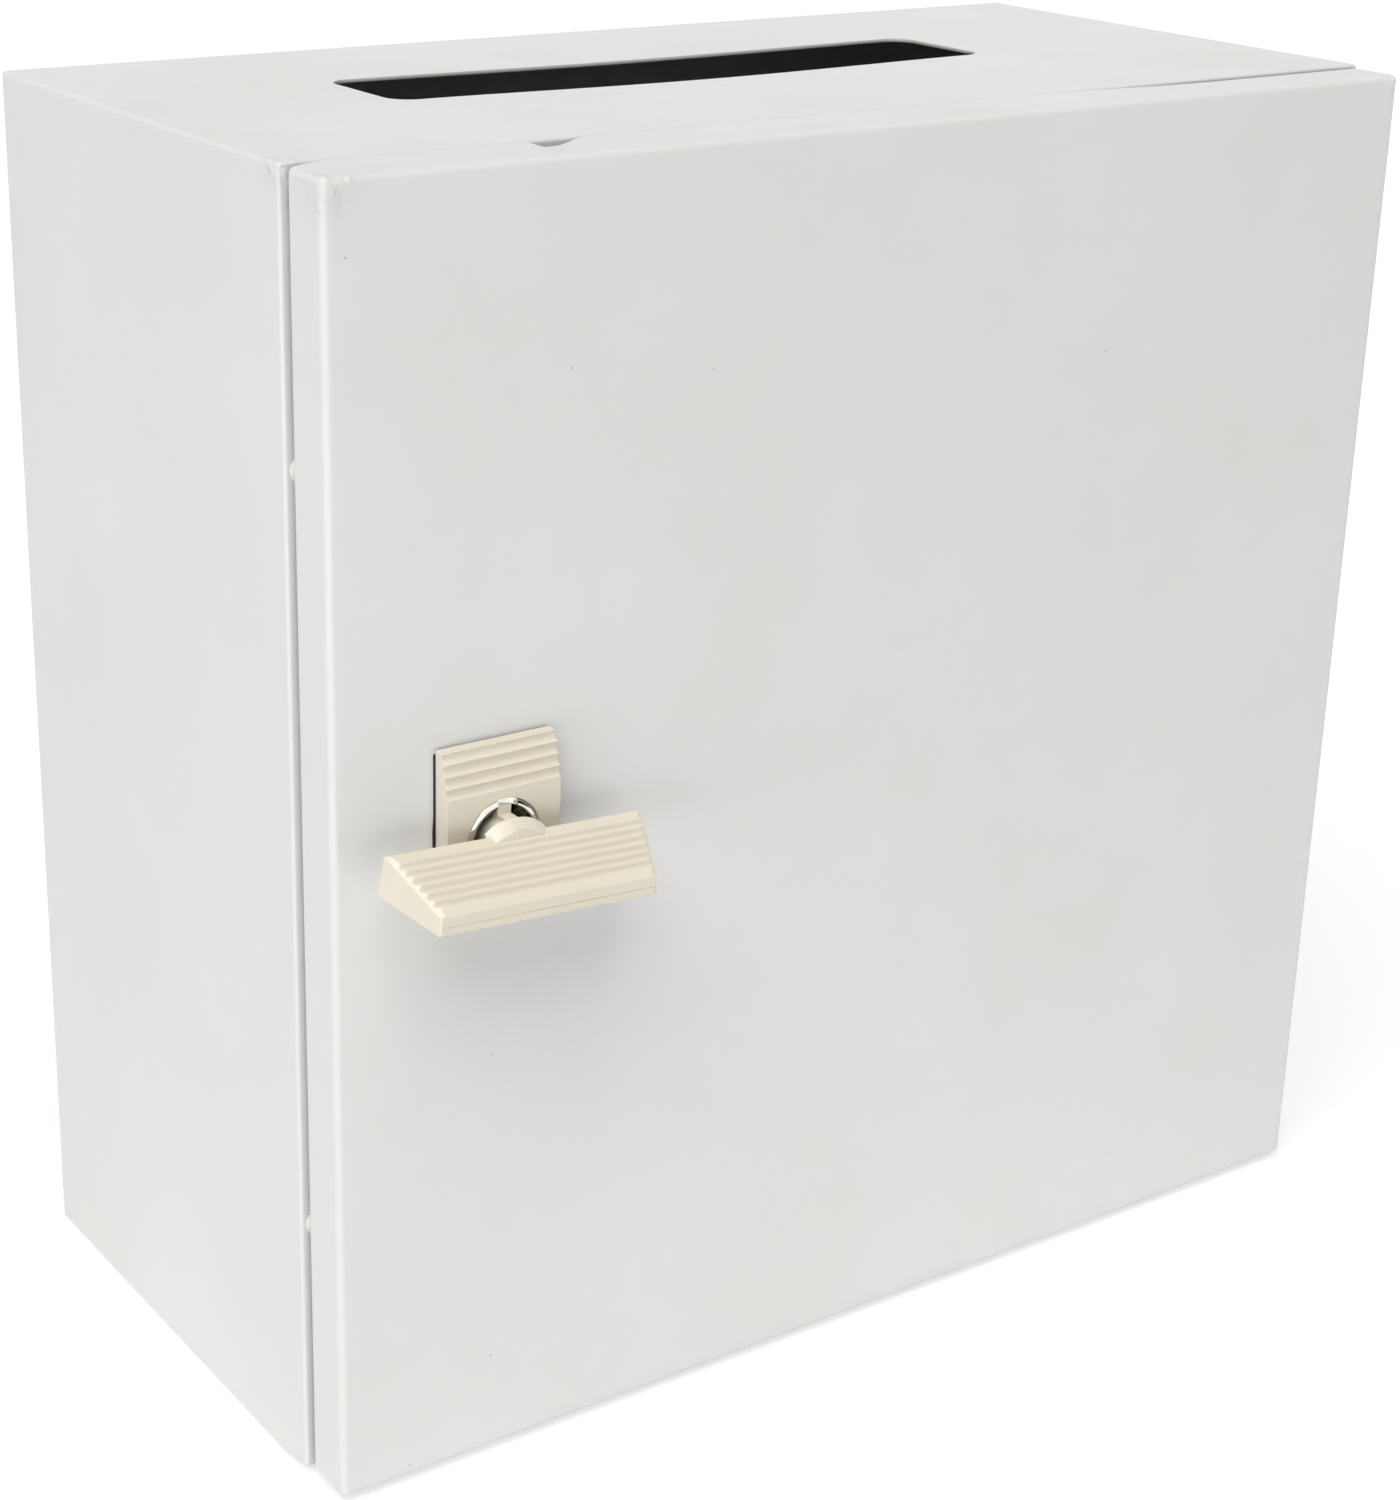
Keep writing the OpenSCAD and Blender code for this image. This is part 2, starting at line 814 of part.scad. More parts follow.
// Threaded barrel that clamps the escutcheon to the door and carries the insert
module lock_barrel() {
    chamfer = 0.5;
    color([0.8, 0.8, 0.82])
    at_lock()
        difference() {
            union() {
                rod_y(barrel_r, barrel_front_y + chamfer, barrel_back_y);
                translate([0, barrel_front_y + chamfer, 0])
                    rotate([90, 0, 0])
                        cylinder(h = chamfer, r1 = barrel_r, r2 = barrel_r - chamfer);
            }
            rod_y(insert_r + insert_fit, barrel_front_y - cut, barrel_back_y + cut);
            rod_y(barrel_r - barrel_rim, barrel_front_y - cut, insert_seat_y);
        }
}

module lock_washer() {
    color([0.72, 0.73, 0.72])
    at_lock()
        along_y(door_skin_y, door_skin_y + washer_t)
            difference() {
                circle(lock_nut_w / 2 + lock_washer_rim);
                circle(barrel_r + thread_clear);
            }
}

module lock_nut() {
    color([0.72, 0.73, 0.72])
    at_lock()
        along_y(door_skin_y + washer_t, door_skin_y + washer_t + lock_nut_t)
            difference() {
                circle(lock_nut_w / sqrt(3), $fn = hex_fn);
                circle(barrel_r + thread_clear);
            }
}

// Plated insert: a cupped and slotted head that the handle drives, and a square tail for the cam
module lock_insert() {
    blade_slot_w = blade_t + blade_play;
    shank_hole_r = shank_r + shank_clear;
    color([0.78, 0.78, 0.8])
    turned()
        difference() {
            union() {
                rod_y(insert_flange_r, insert_face_y, insert_face_y + insert_flange_t);
                rod_y(insert_r, insert_face_y + insert_flange_t - overlap, cam_y);
                along_y(cam_y - overlap, cam_y + cam_t)
                    square(square_w, center = true);
            }
            translate([0, insert_face_y, 0])
                rotate([-90, 0, 0]) {
                    cylinder(h = insert_chamfer_h, r1 = insert_mouth_r, r2 = shank_hole_r);
                    cylinder(h = insert_cup_depth, r = shank_hole_r);
                }
            translate([-blade_slot_w / 2, insert_face_y - cut, -insert_flange_r - cut])
                cube([blade_slot_w, insert_cup_depth + cut, 2 * (insert_flange_r + cut)]);
            rod_y(cam_screw_r + thread_clear, cam_y + cam_t - cam_screw_l, cam_y + cam_t + cut);
        }
}

// Side view of the handle: back edge, sloping ribbed face, narrow front face and underside
module handle_outline() {
    top_edge = [handle_back, handle_top_z];
    front_edge = [handle_front, handle_top_z - handle_drop];
    difference() {
        polygon([
            top_edge,
            front_edge,
            [handle_front, handle_top_z - handle_drop - front_face_h],
            [handle_back - handle_rear_step, handle_top_z - handle_rear_h],
        ]);
        for (rib = [1 : handle_ribs - 1])
            translate(top_edge + (front_edge - top_edge) * rib / handle_ribs)
                circle(groove_r);
    }
}

// Ribbed wedge bar with a round boss, a shank and a flat blade that drops into the insert
module t_handle() {
    shank_end_y = insert_cup_y - shank_end_gap;
    blade_end_y = insert_cup_y - blade_end_gap;
    shoulder_y = barrel_front_y - blade_proud;
    half_back = handle_w / 2;
    half_front = half_back - (handle_front - handle_back) * end_draft;
    half_rear = half_back + handle_rear_step * end_draft;
    boss_draft = 0.4;
    color([0.90, 0.88, 0.79])
    turned() {
        difference() {
            translate([-half_rear, door_front_y, 0])
                rotate([90, 0, 90])
                    linear_extrude(2 * half_rear)
                        mirror([1, 0])
                            handle_outline();
            for (side = [0, 1])
                mirror([side, 0, 0])
                    translate([0, 0, -handle_w / 2])
                        linear_extrude(handle_w)
                            polygon([
                                [half_rear, handle_back_y + handle_rear_step],
                                [half_front, handle_front_y],
                                [half_front, handle_front_y - cut],
                                [half_rear + cut, handle_front_y - cut],
                                [half_rear + cut, handle_back_y + handle_rear_step],
                            ]);
        }
        translate([0, handle_back_y, 0])
            rotate([90, 0, 0])
                cylinder(h = boss_l, r1 = boss_r, r2 = boss_r - boss_draft);
        rod_y(shank_r, handle_back_y - overlap, shank_end_y);
        translate([-blade_t / 2, shoulder_y, -blade_r])
            cube([blade_t, blade_end_y - shoulder_y, 2 * blade_r]);
    }
}

module lock_cam() {
    color([0.72, 0.73, 0.72])
    turned()
        along_y(cam_y, cam_y + cam_t)
            difference() {
                union() {
                    circle(cam_w / 2);
                    translate([-cam_w / 2, -cam_reach + cam_corner_r])
                        square([cam_w, cam_reach - cam_corner_r]);
                    translate([-cam_w / 2 + cam_corner_r, -cam_reach])
                        square([cam_w - 2 * cam_corner_r, cam_reach]);
                    for (side = [-1, 1])
                        translate([side * (cam_w / 2 - cam_corner_r), -cam_reach + cam_corner_r])
                            circle(cam_corner_r);
                }
                square(square_w + 2 * thread_clear, center = true);
            }
}

module cam_washer() {
    color([0.72, 0.73, 0.72])
    turned()
        along_y(cam_y + cam_t, cam_y + cam_t + cam_washer_t)
            difference() {
                circle(cam_washer_r);
                circle(cam_screw_r + thread_clear);
            }
}

module cam_screw() {
    head_y = cam_y + cam_t + cam_washer_t;
    color([0.72, 0.73, 0.72])
    turned()
        difference() {
            union() {
                rod_y(cam_screw_r, head_y - cam_screw_l, head_y + cut);
                rod_y(cam_screw_head_r, head_y, head_y + cam_screw_head_h);
            }
            translate([0, head_y + cam_screw_head_h + cut, 0])
                rotate([90, 0, 0])
                    cylinder(h = cam_socket_h + cut, r = cam_socket_r, $fn = hex_fn);
        }
}

body_shell();
back_panel();
mounting_plate();
plate_studs();
plate_spacers();
plate_washers();
plate_nuts();
body_earth_stud();
body_earth_washer();
body_earth_nut();
upper_hole_plug();
lower_hole_plug();
upper_hinge_bracket();
lower_hinge_bracket();
upper_hinge_pin();
lower_hinge_pin();
hinge_pin_clips();
hinge_screws();
hinge_nuts();
door_panel();
door_gasket();
upper_hinge_leaf();
lower_hinge_leaf();
door_earth_stud();
door_earth_washer();
door_earth_nut();
lock_seal();
lock_escutcheon();
lock_barrel();
lock_washer();
lock_nut();
lock_insert();
t_handle();
lock_cam();
cam_washer();
cam_screw();
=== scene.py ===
# Wall-type sheet-steel box with a slot in its top, a hinged folded door and a T-handle lock.
# The origin is the middle of the underside, +X is the hinge side, +Z is up, and the door faces -Y.
# Shapes are worked out in millimetres, and piece() turns them to metres.
import math

import bmesh
import bpy
from mathutils import Euler, Matrix, Vector, noise


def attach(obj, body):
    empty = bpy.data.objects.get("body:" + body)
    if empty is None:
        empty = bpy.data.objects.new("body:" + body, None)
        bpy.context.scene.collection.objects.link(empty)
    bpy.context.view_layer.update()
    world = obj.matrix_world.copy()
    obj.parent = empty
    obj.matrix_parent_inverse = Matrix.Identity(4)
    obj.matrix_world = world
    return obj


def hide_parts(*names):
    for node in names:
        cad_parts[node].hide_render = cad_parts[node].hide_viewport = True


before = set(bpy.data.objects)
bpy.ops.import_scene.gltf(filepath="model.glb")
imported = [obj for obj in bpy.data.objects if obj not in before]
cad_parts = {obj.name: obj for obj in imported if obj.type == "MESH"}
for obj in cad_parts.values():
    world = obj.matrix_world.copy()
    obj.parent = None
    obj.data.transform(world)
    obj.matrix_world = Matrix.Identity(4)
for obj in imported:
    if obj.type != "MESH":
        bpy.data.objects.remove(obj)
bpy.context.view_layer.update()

# Body
BODY_HALF = 150.0
BODY_MID_Z = 150.0
BODY_FRONT_Y = -67.6
BODY_BACK_Y = 67.6
BODY_SHEET = 1.0
BODY_BEND = 0.8
BODY_CORNER = 1.0
BODY_CREASE = 0.3
# The underside is ground away from here to the front, up to this height
GROUND_Y = -56.0
GROUND_RUN = 13
GROUND_LIFT = 2.4
LIP_HALF = 130.0
LIP_FRONT_Y = -76.6
PANEL_Y = 66.6
PANEL_RIM_Y = 56.6

# Door
DOOR_HALF_W = 148.6
DOOR_HALF_H = 148.75
DOOR_MID_Z = 150.65
DOOR_FRONT_Y = -82.4
DOOR_BACK_Y = -69.1
DOOR_SHEET = 1.2
DOOR_BEND = 1.6
DOOR_CORNER = 1.5
DOOR_SKIN_Y = DOOR_FRONT_Y + DOOR_SHEET

# Hinges and the holes opposite them
HINGE_X = 144.0
HINGE_Y = -77.3
HINGE_Z = (65.4, 238.2)
FIXING_X = 145.3

# Lock
LOCK_X = -110.2
LOCK_Z = 157.1
LOCK_LEAN = 3.1
ESCUTCHEON_BACK_Y = -82.9
BARREL_FRONT_Y = -87.75
INSERT_FACE_Y = -87.2
CUP_Y = -83.2
CAM_Y = -65.9

# Studs and their hardware: outer radius or width over flats, bore radius and thickness
STUD_SPREAD = 110.0
EARTH_X = -98.0
STUD_R = 3.0
WASHER_T = 1.4
M6_WASHER = (6.2, 3.05, WASHER_T)
M6_NUT = (10, 3.05, 5)


# ---------- shapes ----------

def srgb(code):
    """A colour written as sRGB hex, as linear red, green, blue and alpha."""
    parts = [int(code[place:place + 2], 16) / 255 for place in (1, 3, 5)]
    return [p / 12.92 if p <= 0.04045 else ((p + 0.055) / 1.055) ** 2.4 for p in parts] + [1.0]


def smooth(value):
    """Eases a value from 0 to 1."""
    value = min(max(value, 0.0), 1.0)
    return value * value * (3 - 2 * value)


def arc(centre, radius, start, end, steps=6):
    """Points on an arc of a cross-section, from one angle to another in degrees."""
    turns = [math.radians(start + (end - start) * k / steps) for k in range(steps + 1)]
    return [(centre[0] + radius * math.cos(t), centre[1] + radius * math.sin(t)) for t in turns]


def rounded(corners):
    """A closed outline from (x, y, radius) corners, each with a fillet of its radius."""
    points = []
    count = len(corners)
    for i, (x, y, radius) in enumerate(corners):
        here = Vector((x, y))
        back = (Vector(corners[i - 1][:2]) - here).normalized()
        ahead = (Vector(corners[(i + 1) % count][:2]) - here).normalized()
        if radius == 0:
            points.append((x, y))
            continue
        half_angle = back.angle(ahead) / 2
        centre = here + (back + ahead).normalized() * radius / math.sin(half_angle)
        start = here + back * radius / math.tan(half_angle) - centre
        end = here + ahead * radius / math.tan(half_angle) - centre
        sweep = start.angle_signed(end)
        for k in range(5):
            spoke = Matrix.Rotation(-sweep * k / 4, 2) @ start
            points.append(tuple(centre + spoke))
    return points


def inset(outline, distance):
    """Moves each point of a closed anticlockwise outline inwards."""
    moved = []
    count = len(outline)
    for i, point in enumerate(outline):
        before = Vector(point) - Vector(outline[i - 1])
        after = Vector(outline[(i + 1) % count]) - Vector(point)
        along = (before.normalized() + after.normalized()).normalized()
        moved.append((point[0] - along.y * distance, point[1] + along.x * distance))
    return moved


def ring(half_w, half_h, mid_z, radius, y, side_steps=1):
    """A round-cornered rectangle that faces along Y."""
    radius = max(radius, 0.0)
    corner_steps = 6
    points = []
    for corner, (side, up) in enumerate(((1, 1), (-1, 1), (-1, -1), (1, -1))):
        centre = (side * (half_w - radius), mid_z + up * (half_h - radius))
        turn = 90 * corner
        points += arc(centre, radius, turn, turn + 90, corner_steps)
    if side_steps == 1:
        return [(x, y, z) for x, z in points]
    spread = []
    for i, (x, z) in enumerate(points):
        spread.append((x, y, z))
        if i % (corner_steps + 1) == corner_steps:
            next_x, next_z = points[(i + 1) % len(points)]
            for k in range(1, side_steps):
                part = k / side_steps
                spread.append((x + (next_x - x) * part, y, z + (next_z - z) * part))
    return spread


def skin(bm, rings, closed=False, caps=True):
    """Covers a row of rings with faces, and returns their vertices."""
    rows = [[bm.verts.new(point) for point in one] for one in rings]
    count = len(rows[0])
    pairs = list(zip(rows, rows[1:])) + ([(rows[-1], rows[0])] if closed else [])
    for low, high in pairs:
        for k in range(count):
            bm.faces.new((low[k], low[(k + 1) % count], high[(k + 1) % count], high[k]))
    if caps and not closed:
        for row in (rows[0], rows[-1]):
            if (row[0].co - row[count // 2].co).length > 1e-5:
                bm.faces.new(row)
    return rows


def tidy(bm):
    """Joins doubled points and turns all faces outwards."""
    bmesh.ops.remove_doubles(bm, verts=bm.verts, dist=2e-4)
    bmesh.ops.dissolve_degenerate(bm, dist=1e-5, edges=bm.edges)
    bmesh.ops.recalc_face_normals(bm, faces=bm.faces)
    return bm


def lofted(rings, closed=False):
    """A solid through a row of rings."""
    bm = bmesh.new()
    skin(bm, rings, closed)
    return tidy(bm)


def turned(profile, steps=48, shape=None, closed=False):
    """Spins (radius, height) points about Z. A shape may change a radius by height and angle."""
    rings = []
    for radius, height in profile:
        one = []
        for k in range(steps):
            angle = 2 * math.pi * k / steps
            reach = shape(radius, height, angle) if shape else radius
            one.append((reach * math.cos(angle), reach * math.sin(angle), height))
        rings.append(one)
    return lofted(rings, closed)


def slab(outline, low, high, edge):
    """An outline in X and Y made thick along Z, with softened edges."""
    rings = []
    for angle in (0, 30, 60, 90):
        shrink = edge * (1 - math.sin(math.radians(angle)))
        rise = edge * (1 - math.cos(math.radians(angle)))
        rings.append([(x, y, low + rise) for x, y in inset(outline, shrink)])
    for angle in (90, 60, 30, 0):
        shrink = edge * (1 - math.sin(math.radians(angle)))
        rise = edge * (1 - math.cos(math.radians(angle)))
        rings.append([(x, y, high - rise) for x, y in inset(outline, shrink)])
    return lofted(rings)


def block(lowest, highest, edge):
    """A block between two corners, with softened edges."""
    (x0, y0, z0), (x1, y1, z1) = lowest, highest
    corners = [(x0, y0, edge), (x1, y0, edge), (x1, y1, edge), (x0, y1, edge)]
    return slab(rounded(corners), z0, z1, edge)


def thread(pitch, depth, low, high):
    """Cuts a screw thread into the radii between two heights."""
    def shape(radius, height, angle):
        if not low < height < high:
            return radius
        turn = (height / pitch - angle / (2 * math.pi)) % 1
        fade = min(1, (height - low) / pitch, (high - height) / pitch)
        return radius - depth * fade * abs(2 * turn - 1)
    return shape


def threaded_run(radius, low, high, pitch):
    """Profile points close enough together for a thread."""
    count = max(int(round((high - low) / pitch * 6)), 1)
    return [(radius, low + (high - low) * k / count) for k in range(count + 1)]


def moved(bm, matrix):
    bm.transform(matrix)
    return bm


def copies(bm, matrices):
    """The same shape at several places."""
    mesh = bpy.data.meshes.new("pattern")
    bm.to_mesh(mesh)
    bm.free()
    out = bmesh.new()
    for matrix in matrices:
        before = len(out.verts)
        out.from_mesh(mesh)
        out.verts.ensure_lookup_table()
        bmesh.ops.transform(out, matrix=matrix, verts=out.verts[before:])
    bpy.data.meshes.remove(mesh)
    return tidy(out)


def bare_object(bm, name):
    mesh = bpy.data.meshes.new(name)
    bm.to_mesh(mesh)
    bm.free()
    obj = bpy.data.objects.new(name, mesh)
    bpy.context.scene.collection.objects.link(obj)
    return obj


def carved(bm, *tools, operation="DIFFERENCE"):
    """Cuts tools out of a shape, or joins them to it."""
    obj = bare_object(bm, "workpiece")
    cutters = [bare_object(tool, "tool") for tool in tools]
    for cutter in cutters:
        modifier = obj.modifiers.new("carve", "BOOLEAN")
        modifier.operation = operation
        modifier.solver = "EXACT"
        modifier.object = cutter
    depsgraph = bpy.context.evaluated_depsgraph_get()
    mesh = bpy.data.meshes.new_from_object(obj.evaluated_get(depsgraph))
    out = bmesh.new()
    out.from_mesh(mesh)
    bpy.data.meshes.remove(mesh)
    for used in [obj, *cutters]:
        old = used.data
        bpy.data.objects.remove(used)
        bpy.data.meshes.remove(old)
    return out


ALONG_Y = Matrix.Rotation(math.radians(-90), 4, "X")
TOWARDS_FRONT = Matrix.Rotation(math.radians(90), 4, "X")
AT_LOCK = Matrix.Translation((LOCK_X, 0, LOCK_Z))
TURNED = AT_LOCK @ Matrix.Rotation(math.radians(LOCK_LEAN), 4, "Y")


def piece(name, bm, body, slot, material, *nodes, sharp=38):
    """Finishes a shape as a piece of the object that rides on a body."""
    bmesh.ops.recalc_face_normals(bm, faces=bm.faces)
    bm.transform(Matrix.Scale(0.001, 4))
    obj = bare_object(bm, name)
    obj.data.materials.append(material)
    obj.data.shade_smooth()
    obj.data.set_sharp_from_angle(angle=math.radians(sharp))
    normals = obj.modifiers.new("even_normals", "WEIGHTED_NORMAL")
    normals.mode = "FACE_AREA"
    normals.keep_sharp = True
    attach(obj, body)
    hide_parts(*nodes)
    return obj


def softened(node, edge, angle=40):
    """A copy of a node's own solid with its edges rounded over."""
    bm = bmesh.new()
    bm.from_mesh(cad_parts[node].data)
    bm.transform(Matrix.Scale(1000, 4))
    bmesh.ops.remove_doubles(bm, verts=bm.verts, dist=1e-4)
    bmesh.ops.dissolve_limit(bm, angle_limit=math.radians(1), verts=bm.verts, edges=bm.edges)
    limit = math.radians(angle)
    edges = [e for e in bm.edges if len(e.link_faces) == 2 and e.calc_face_angle() > limit]
    bmesh.ops.bevel(bm, geom=edges, offset=edge, segments=2, profile=0.5, affect="EDGES",
                    clamp_overlap=True)
    return tidy(bm)


# ---------- finishes ----------

def add(tree, kind, inputs=None, **settings):
    """Adds a node. Each input takes a value, or a socket to link from."""
    made = tree.nodes.new(kind)
    for key, value in settings.items():
        setattr(made, key, value)
    for key, value in (inputs or {}).items():
        if isinstance(value, bpy.types.NodeSocket):
            tree.links.new(value, made.inputs[key])
        else:
            made.inputs[key].default_value = value
    return made


def finish(name, light, dark, patch, roughness, grain, grain_depth, metallic=0.0, ior=1.5,
           specular=0.5):
    """A surface whose tone and gloss drift in patches, under a fine raised grain.

    Patch, grain and grain_depth are in millimetres, and roughness is a (low, high) pair.
    """
    material = bpy.data.materials.new(name)
    material.use_nodes = True
    tree = material.node_tree
    shader = tree.nodes["Principled BSDF"]
    shader.inputs["Metallic"].default_value = metallic
    shader.inputs["IOR"].default_value = ior
    shader.inputs["Specular IOR Level"].default_value = specular
    place = add(tree, "ShaderNodeTexCoord").outputs["Object"]
    patches = add(tree, "ShaderNodeTexNoise", {"Vector": place, "Scale": 1000 / patch,
                                               "Detail": 4.0, "Roughness": 0.55})
    spread = add(tree, "ShaderNodeMapRange", {"Value": patches.outputs[0], "From Min": 0.32,
                                              "From Max": 0.68})
    tone = add(tree, "ShaderNodeMix", {0: spread.outputs[0], 6: srgb(dark), 7: srgb(light)},
               data_type="RGBA")
    gloss = add(tree, "ShaderNodeMapRange", {"Value": spread.outputs[0], "To Min": roughness[1],
                                             "To Max": roughness[0]})
    grains = add(tree, "ShaderNodeTexNoise", {"Vector": place, "Scale": 1000 / grain,
                                              "Detail": 2.0, "Roughness": 0.5})
    relief = add(tree, "ShaderNodeBump", {"Height": grains.outputs[0], "Strength": 1.0,
                                          "Distance": grain_depth / 1000})
    tree.links.new(tone.outputs[2], shader.inputs["Base Color"])
    tree.links.new(gloss.outputs[0], shader.inputs["Roughness"])
    tree.links.new(relief.outputs[0], shader.inputs["Normal"])
    return material, tree, shader, place, tone, relief


def spots(tree, place, centres, radius, soft):
    """A mask that is 1 at each centre and fades out beyond the radius, in millimetres."""
    mask = None
    for centre in centres:
        away = add(tree, "ShaderNodeVectorMath", {0: place, 1: [c / 1000 for c in centre]},
                   operation="DISTANCE")
        near = add(tree, "ShaderNodeMapRange", {
            "Value": away.outputs["Value"], "From Min": (radius + soft) / 1000,
            "From Max": radius / 1000}, interpolation_type="SMOOTHSTEP")
        if mask is None:
            mask = near.outputs[0]
        else:
            mask = add(tree, "ShaderNodeMath", {0: mask, 1: near.outputs[0]},
                       operation="MAXIMUM").outputs[0]
    return mask


def powder_coat(name, light, dark, nibs, wrinkled):
    """Polyester powder coat baked on steel: an even satin grey over fine orange peel."""
    # The ripple of the orange peel is about 1.2 mm across, and the sheet under it is flat
    # to about a tenth over 60 mm, which bends the soft reflections a little.
    material, tree, shader, place, tone, relief = finish(
        name, light, dark, 55, (0.36, 0.44), 1.2, 0.008)
    waves = add(tree, "ShaderNodeTexNoise", {"Vector": place, "Scale": 1000 / 60, "Detail": 1.0})
    sheet = add(tree, "ShaderNodeBump", {"Height": waves.outputs[0], "Strength": 1.0,
                                         "Distance": 0.00012})
    tree.links.new(sheet.outputs[0], relief.inputs["Normal"])
    # Specks of dust baked into the coat, a quarter of a millimetre in radius
    motes = add(tree, "ShaderNodeTexVoronoi", {"Vector": place, "Scale": 1000 / 26})
    mote = add(tree, "ShaderNodeMapRange", {"Value": motes.outputs["Distance"],
                                            "From Min": 0.010, "From Max": 0.006})
    marks = mote.outputs[0]
    if nibs:
        seen = spots(tree, place, nibs, 0.12, 0.25)
        marks = add(tree, "ShaderNodeMath", {0: marks, 1: seen}, operation="MAXIMUM").outputs[0]
    dusty = add(tree, "ShaderNodeMix", {0: marks, 6: tone.outputs[2], 7: srgb("#A5A59E")},
                data_type="RGBA")
    tree.links.new(dusty.outputs[2], shader.inputs["Base Color"])
    if wrinkled:
        # Runs and lumps where the coat gathered on the ground-down corner welds, 3 mm apart
        near = spots(tree, place, wrinkled, 2.0, 9.0)
        lumps = add(tree, "ShaderNodeTexNoise", {"Vector": place, "Scale": 1000 / 3.2,
                                                 "Detail": 2.0, "Distortion": 0.6})
        gathered = add(tree, "ShaderNodeMath", {0: lumps.outputs[0], 1: near},
                       operation="MULTIPLY")
        runs = add(tree, "ShaderNodeBump", {"Height": gathered.outputs[0], "Strength": 1.0,
                                            "Distance": 0.0009})
        tree.links.new(runs.outputs[0], sheet.inputs["Normal"])
    return material


def moulded_cream():
    """Cream ABS, injection moulded: warm and slightly glossy, a little yellowed in patches."""
    return finish("cream_abs_moulded", "#D8D2C4", "#D4CDBE", 30, (0.30, 0.42), 0.5, 0.004,
                  ior=1.53)[0]


def plated_metal(name, light, dark, roughness, grain_depth):
    return finish(name, light, dark, 4, roughness, 0.6, grain_depth, metallic=1.0)[0]


def cup_plating():
    """Nickel plating inside the insert, painted a dark olive for the dark reflections in the cup,
    and painted darker still deeper in the cup as shade.
    """
    material, tree, shader, place, tone, _ = finish(
        "nickel_plated_zinc_painted_shade", "#77756A", "#403E35", 3, (0.16, 0.34), 0.6, 0.006,
        metallic=1.0)
    # Painted shade: the colour runs towards near black deeper in the cup, where the recess lies in
    # shade.
    parts = add(tree, "ShaderNodeSeparateXYZ", {0: place})
    depth_shade = add(tree, "ShaderNodeMapRange", {"Value": parts.outputs["Y"],
                                            "From Min": (INSERT_FACE_Y + 0.1) / 1000,
                                            "From Max": (INSERT_FACE_Y + 3.2) / 1000})
    shade = add(tree, "ShaderNodeMix", {0: depth_shade.outputs[0], 6: tone.outputs[2],
                                        7: srgb("#1E1D19")}, data_type="RGBA")
    tree.links.new(shade.outputs[2], shader.inputs["Base Color"])
    return material


def galvanised():
    """Hot-dip galvanised sheet: grey zinc crystals about 6 mm across, each its own tone."""
    material, tree, shader, place, tone, _ = finish(
        "galvanised_sheet_hot_dip", "#C3C7C9", "#B2B6B9", 20, (0.38, 0.5), 0.8, 0.004,
        metallic=1.0)
    crystals = add(tree, "ShaderNodeTexVoronoi", {"Vector": place, "Scale": 1000 / 6.0})
    parts = add(tree, "ShaderNodeSeparateColor", {0: crystals.outputs["Color"]})
    shift = add(tree, "ShaderNodeMix", {0: parts.outputs[0], 6: srgb("#A4A9AD"),
                                        7: srgb("#D2D5D6")}, data_type="RGBA")
    both = add(tree, "ShaderNodeMix", {0: 0.6, 6: tone.outputs[2], 7: shift.outputs[2]},
               data_type="RGBA")
    shine = add(tree, "ShaderNodeMapRange", {"Value": parts.outputs[1], "To Min": 0.3,
                                             "To Max": 0.52})
    tree.links.new(both.outputs[2], shader.inputs["Base Color"])
    tree.links.new(shine.outputs[0], shader.inputs["Roughness"])
    return material


def poured_foam():
    """Polyurethane foam poured in place: matt black with open pores under a millimetre."""
    material, tree, _, place, _, relief = finish(
        "polyurethane_foam_poured", "#2C2C2B", "#1D1D1C", 12, (0.85, 0.95), 0.9, 0.05,
        specular=0.3)
    pores = add(tree, "ShaderNodeTexVoronoi", {"Vector": place, "Scale": 1000 / 0.9})
    pitted = add(tree, "ShaderNodeBump", {"Height": pores.outputs["Distance"], "Strength": 1.0,
                                          "Distance": 0.00012})
    tree.links.new(pitted.outputs[0], relief.inputs["Normal"])
    return material


door_nibs = [
    (-143.5, DOOR_FRONT_Y, 283.6), (58.0, DOOR_FRONT_Y, 241.5), (-91.2, DOOR_FRONT_Y, 255.6),
    (-109.6, DOOR_FRONT_Y, 103.4), (-109.8, DOOR_FRONT_Y, 26.3), (-131.4, DOOR_FRONT_Y, 4.9),
]
body_corners = [(side * BODY_HALF, BODY_FRONT_Y, 300.0) for side in (-1, 1)]
door_corners = [(side * DOOR_HALF_W, DOOR_FRONT_Y, 299.4) for side in (-1, 1)]

body_paint = powder_coat("polyester_powder_coat_body", "#D8D8DA", "#D5D5D6", [], body_corners)
door_paint = powder_coat("polyester_powder_coat_door", "#D8D8DA", "#D5D5D6", door_nibs,
                         door_corners)
cream = moulded_cream()
# Bright nickel on zinc casting, with faint smears that dull it
nickel = plated_metal("nickel_plated_zinc_bright", "#F6F4EE", "#EAE7DF", (0.08, 0.2), 0.002)
# The cup's nickel carries painted shade and painted dark reflections.
cup_nickel_painted_shade = cup_plating()
# Blue-passivated zinc on steel: satin grey with a cool cast and milky patches
zinc = plated_metal("zinc_plated_steel_passivated", "#BFC4C8", "#A3A7A8", (0.28, 0.45), 0.005)
zinc_sheet = galvanised()
# Copper flashed on steel by dipping: orange brown, dulled where it was handled
copper = plated_metal("copper_flashed_steel", "#C98F68", "#9C6A4B", (0.3, 0.5), 0.004)
# Spring steel phosphated and oiled: dark grey with a faint sheen
phosphated = plated_metal("spring_steel_phosphated", "#4A4A48", "#333331", (0.42, 0.6), 0.006)
# Nylon, injection moulded black: slightly cloudy and soft in its gloss
nylon = finish("nylon_moulded_black", "#262626", "#191919", 8, (0.38, 0.5), 0.5, 0.004,
               ior=1.53)[0]
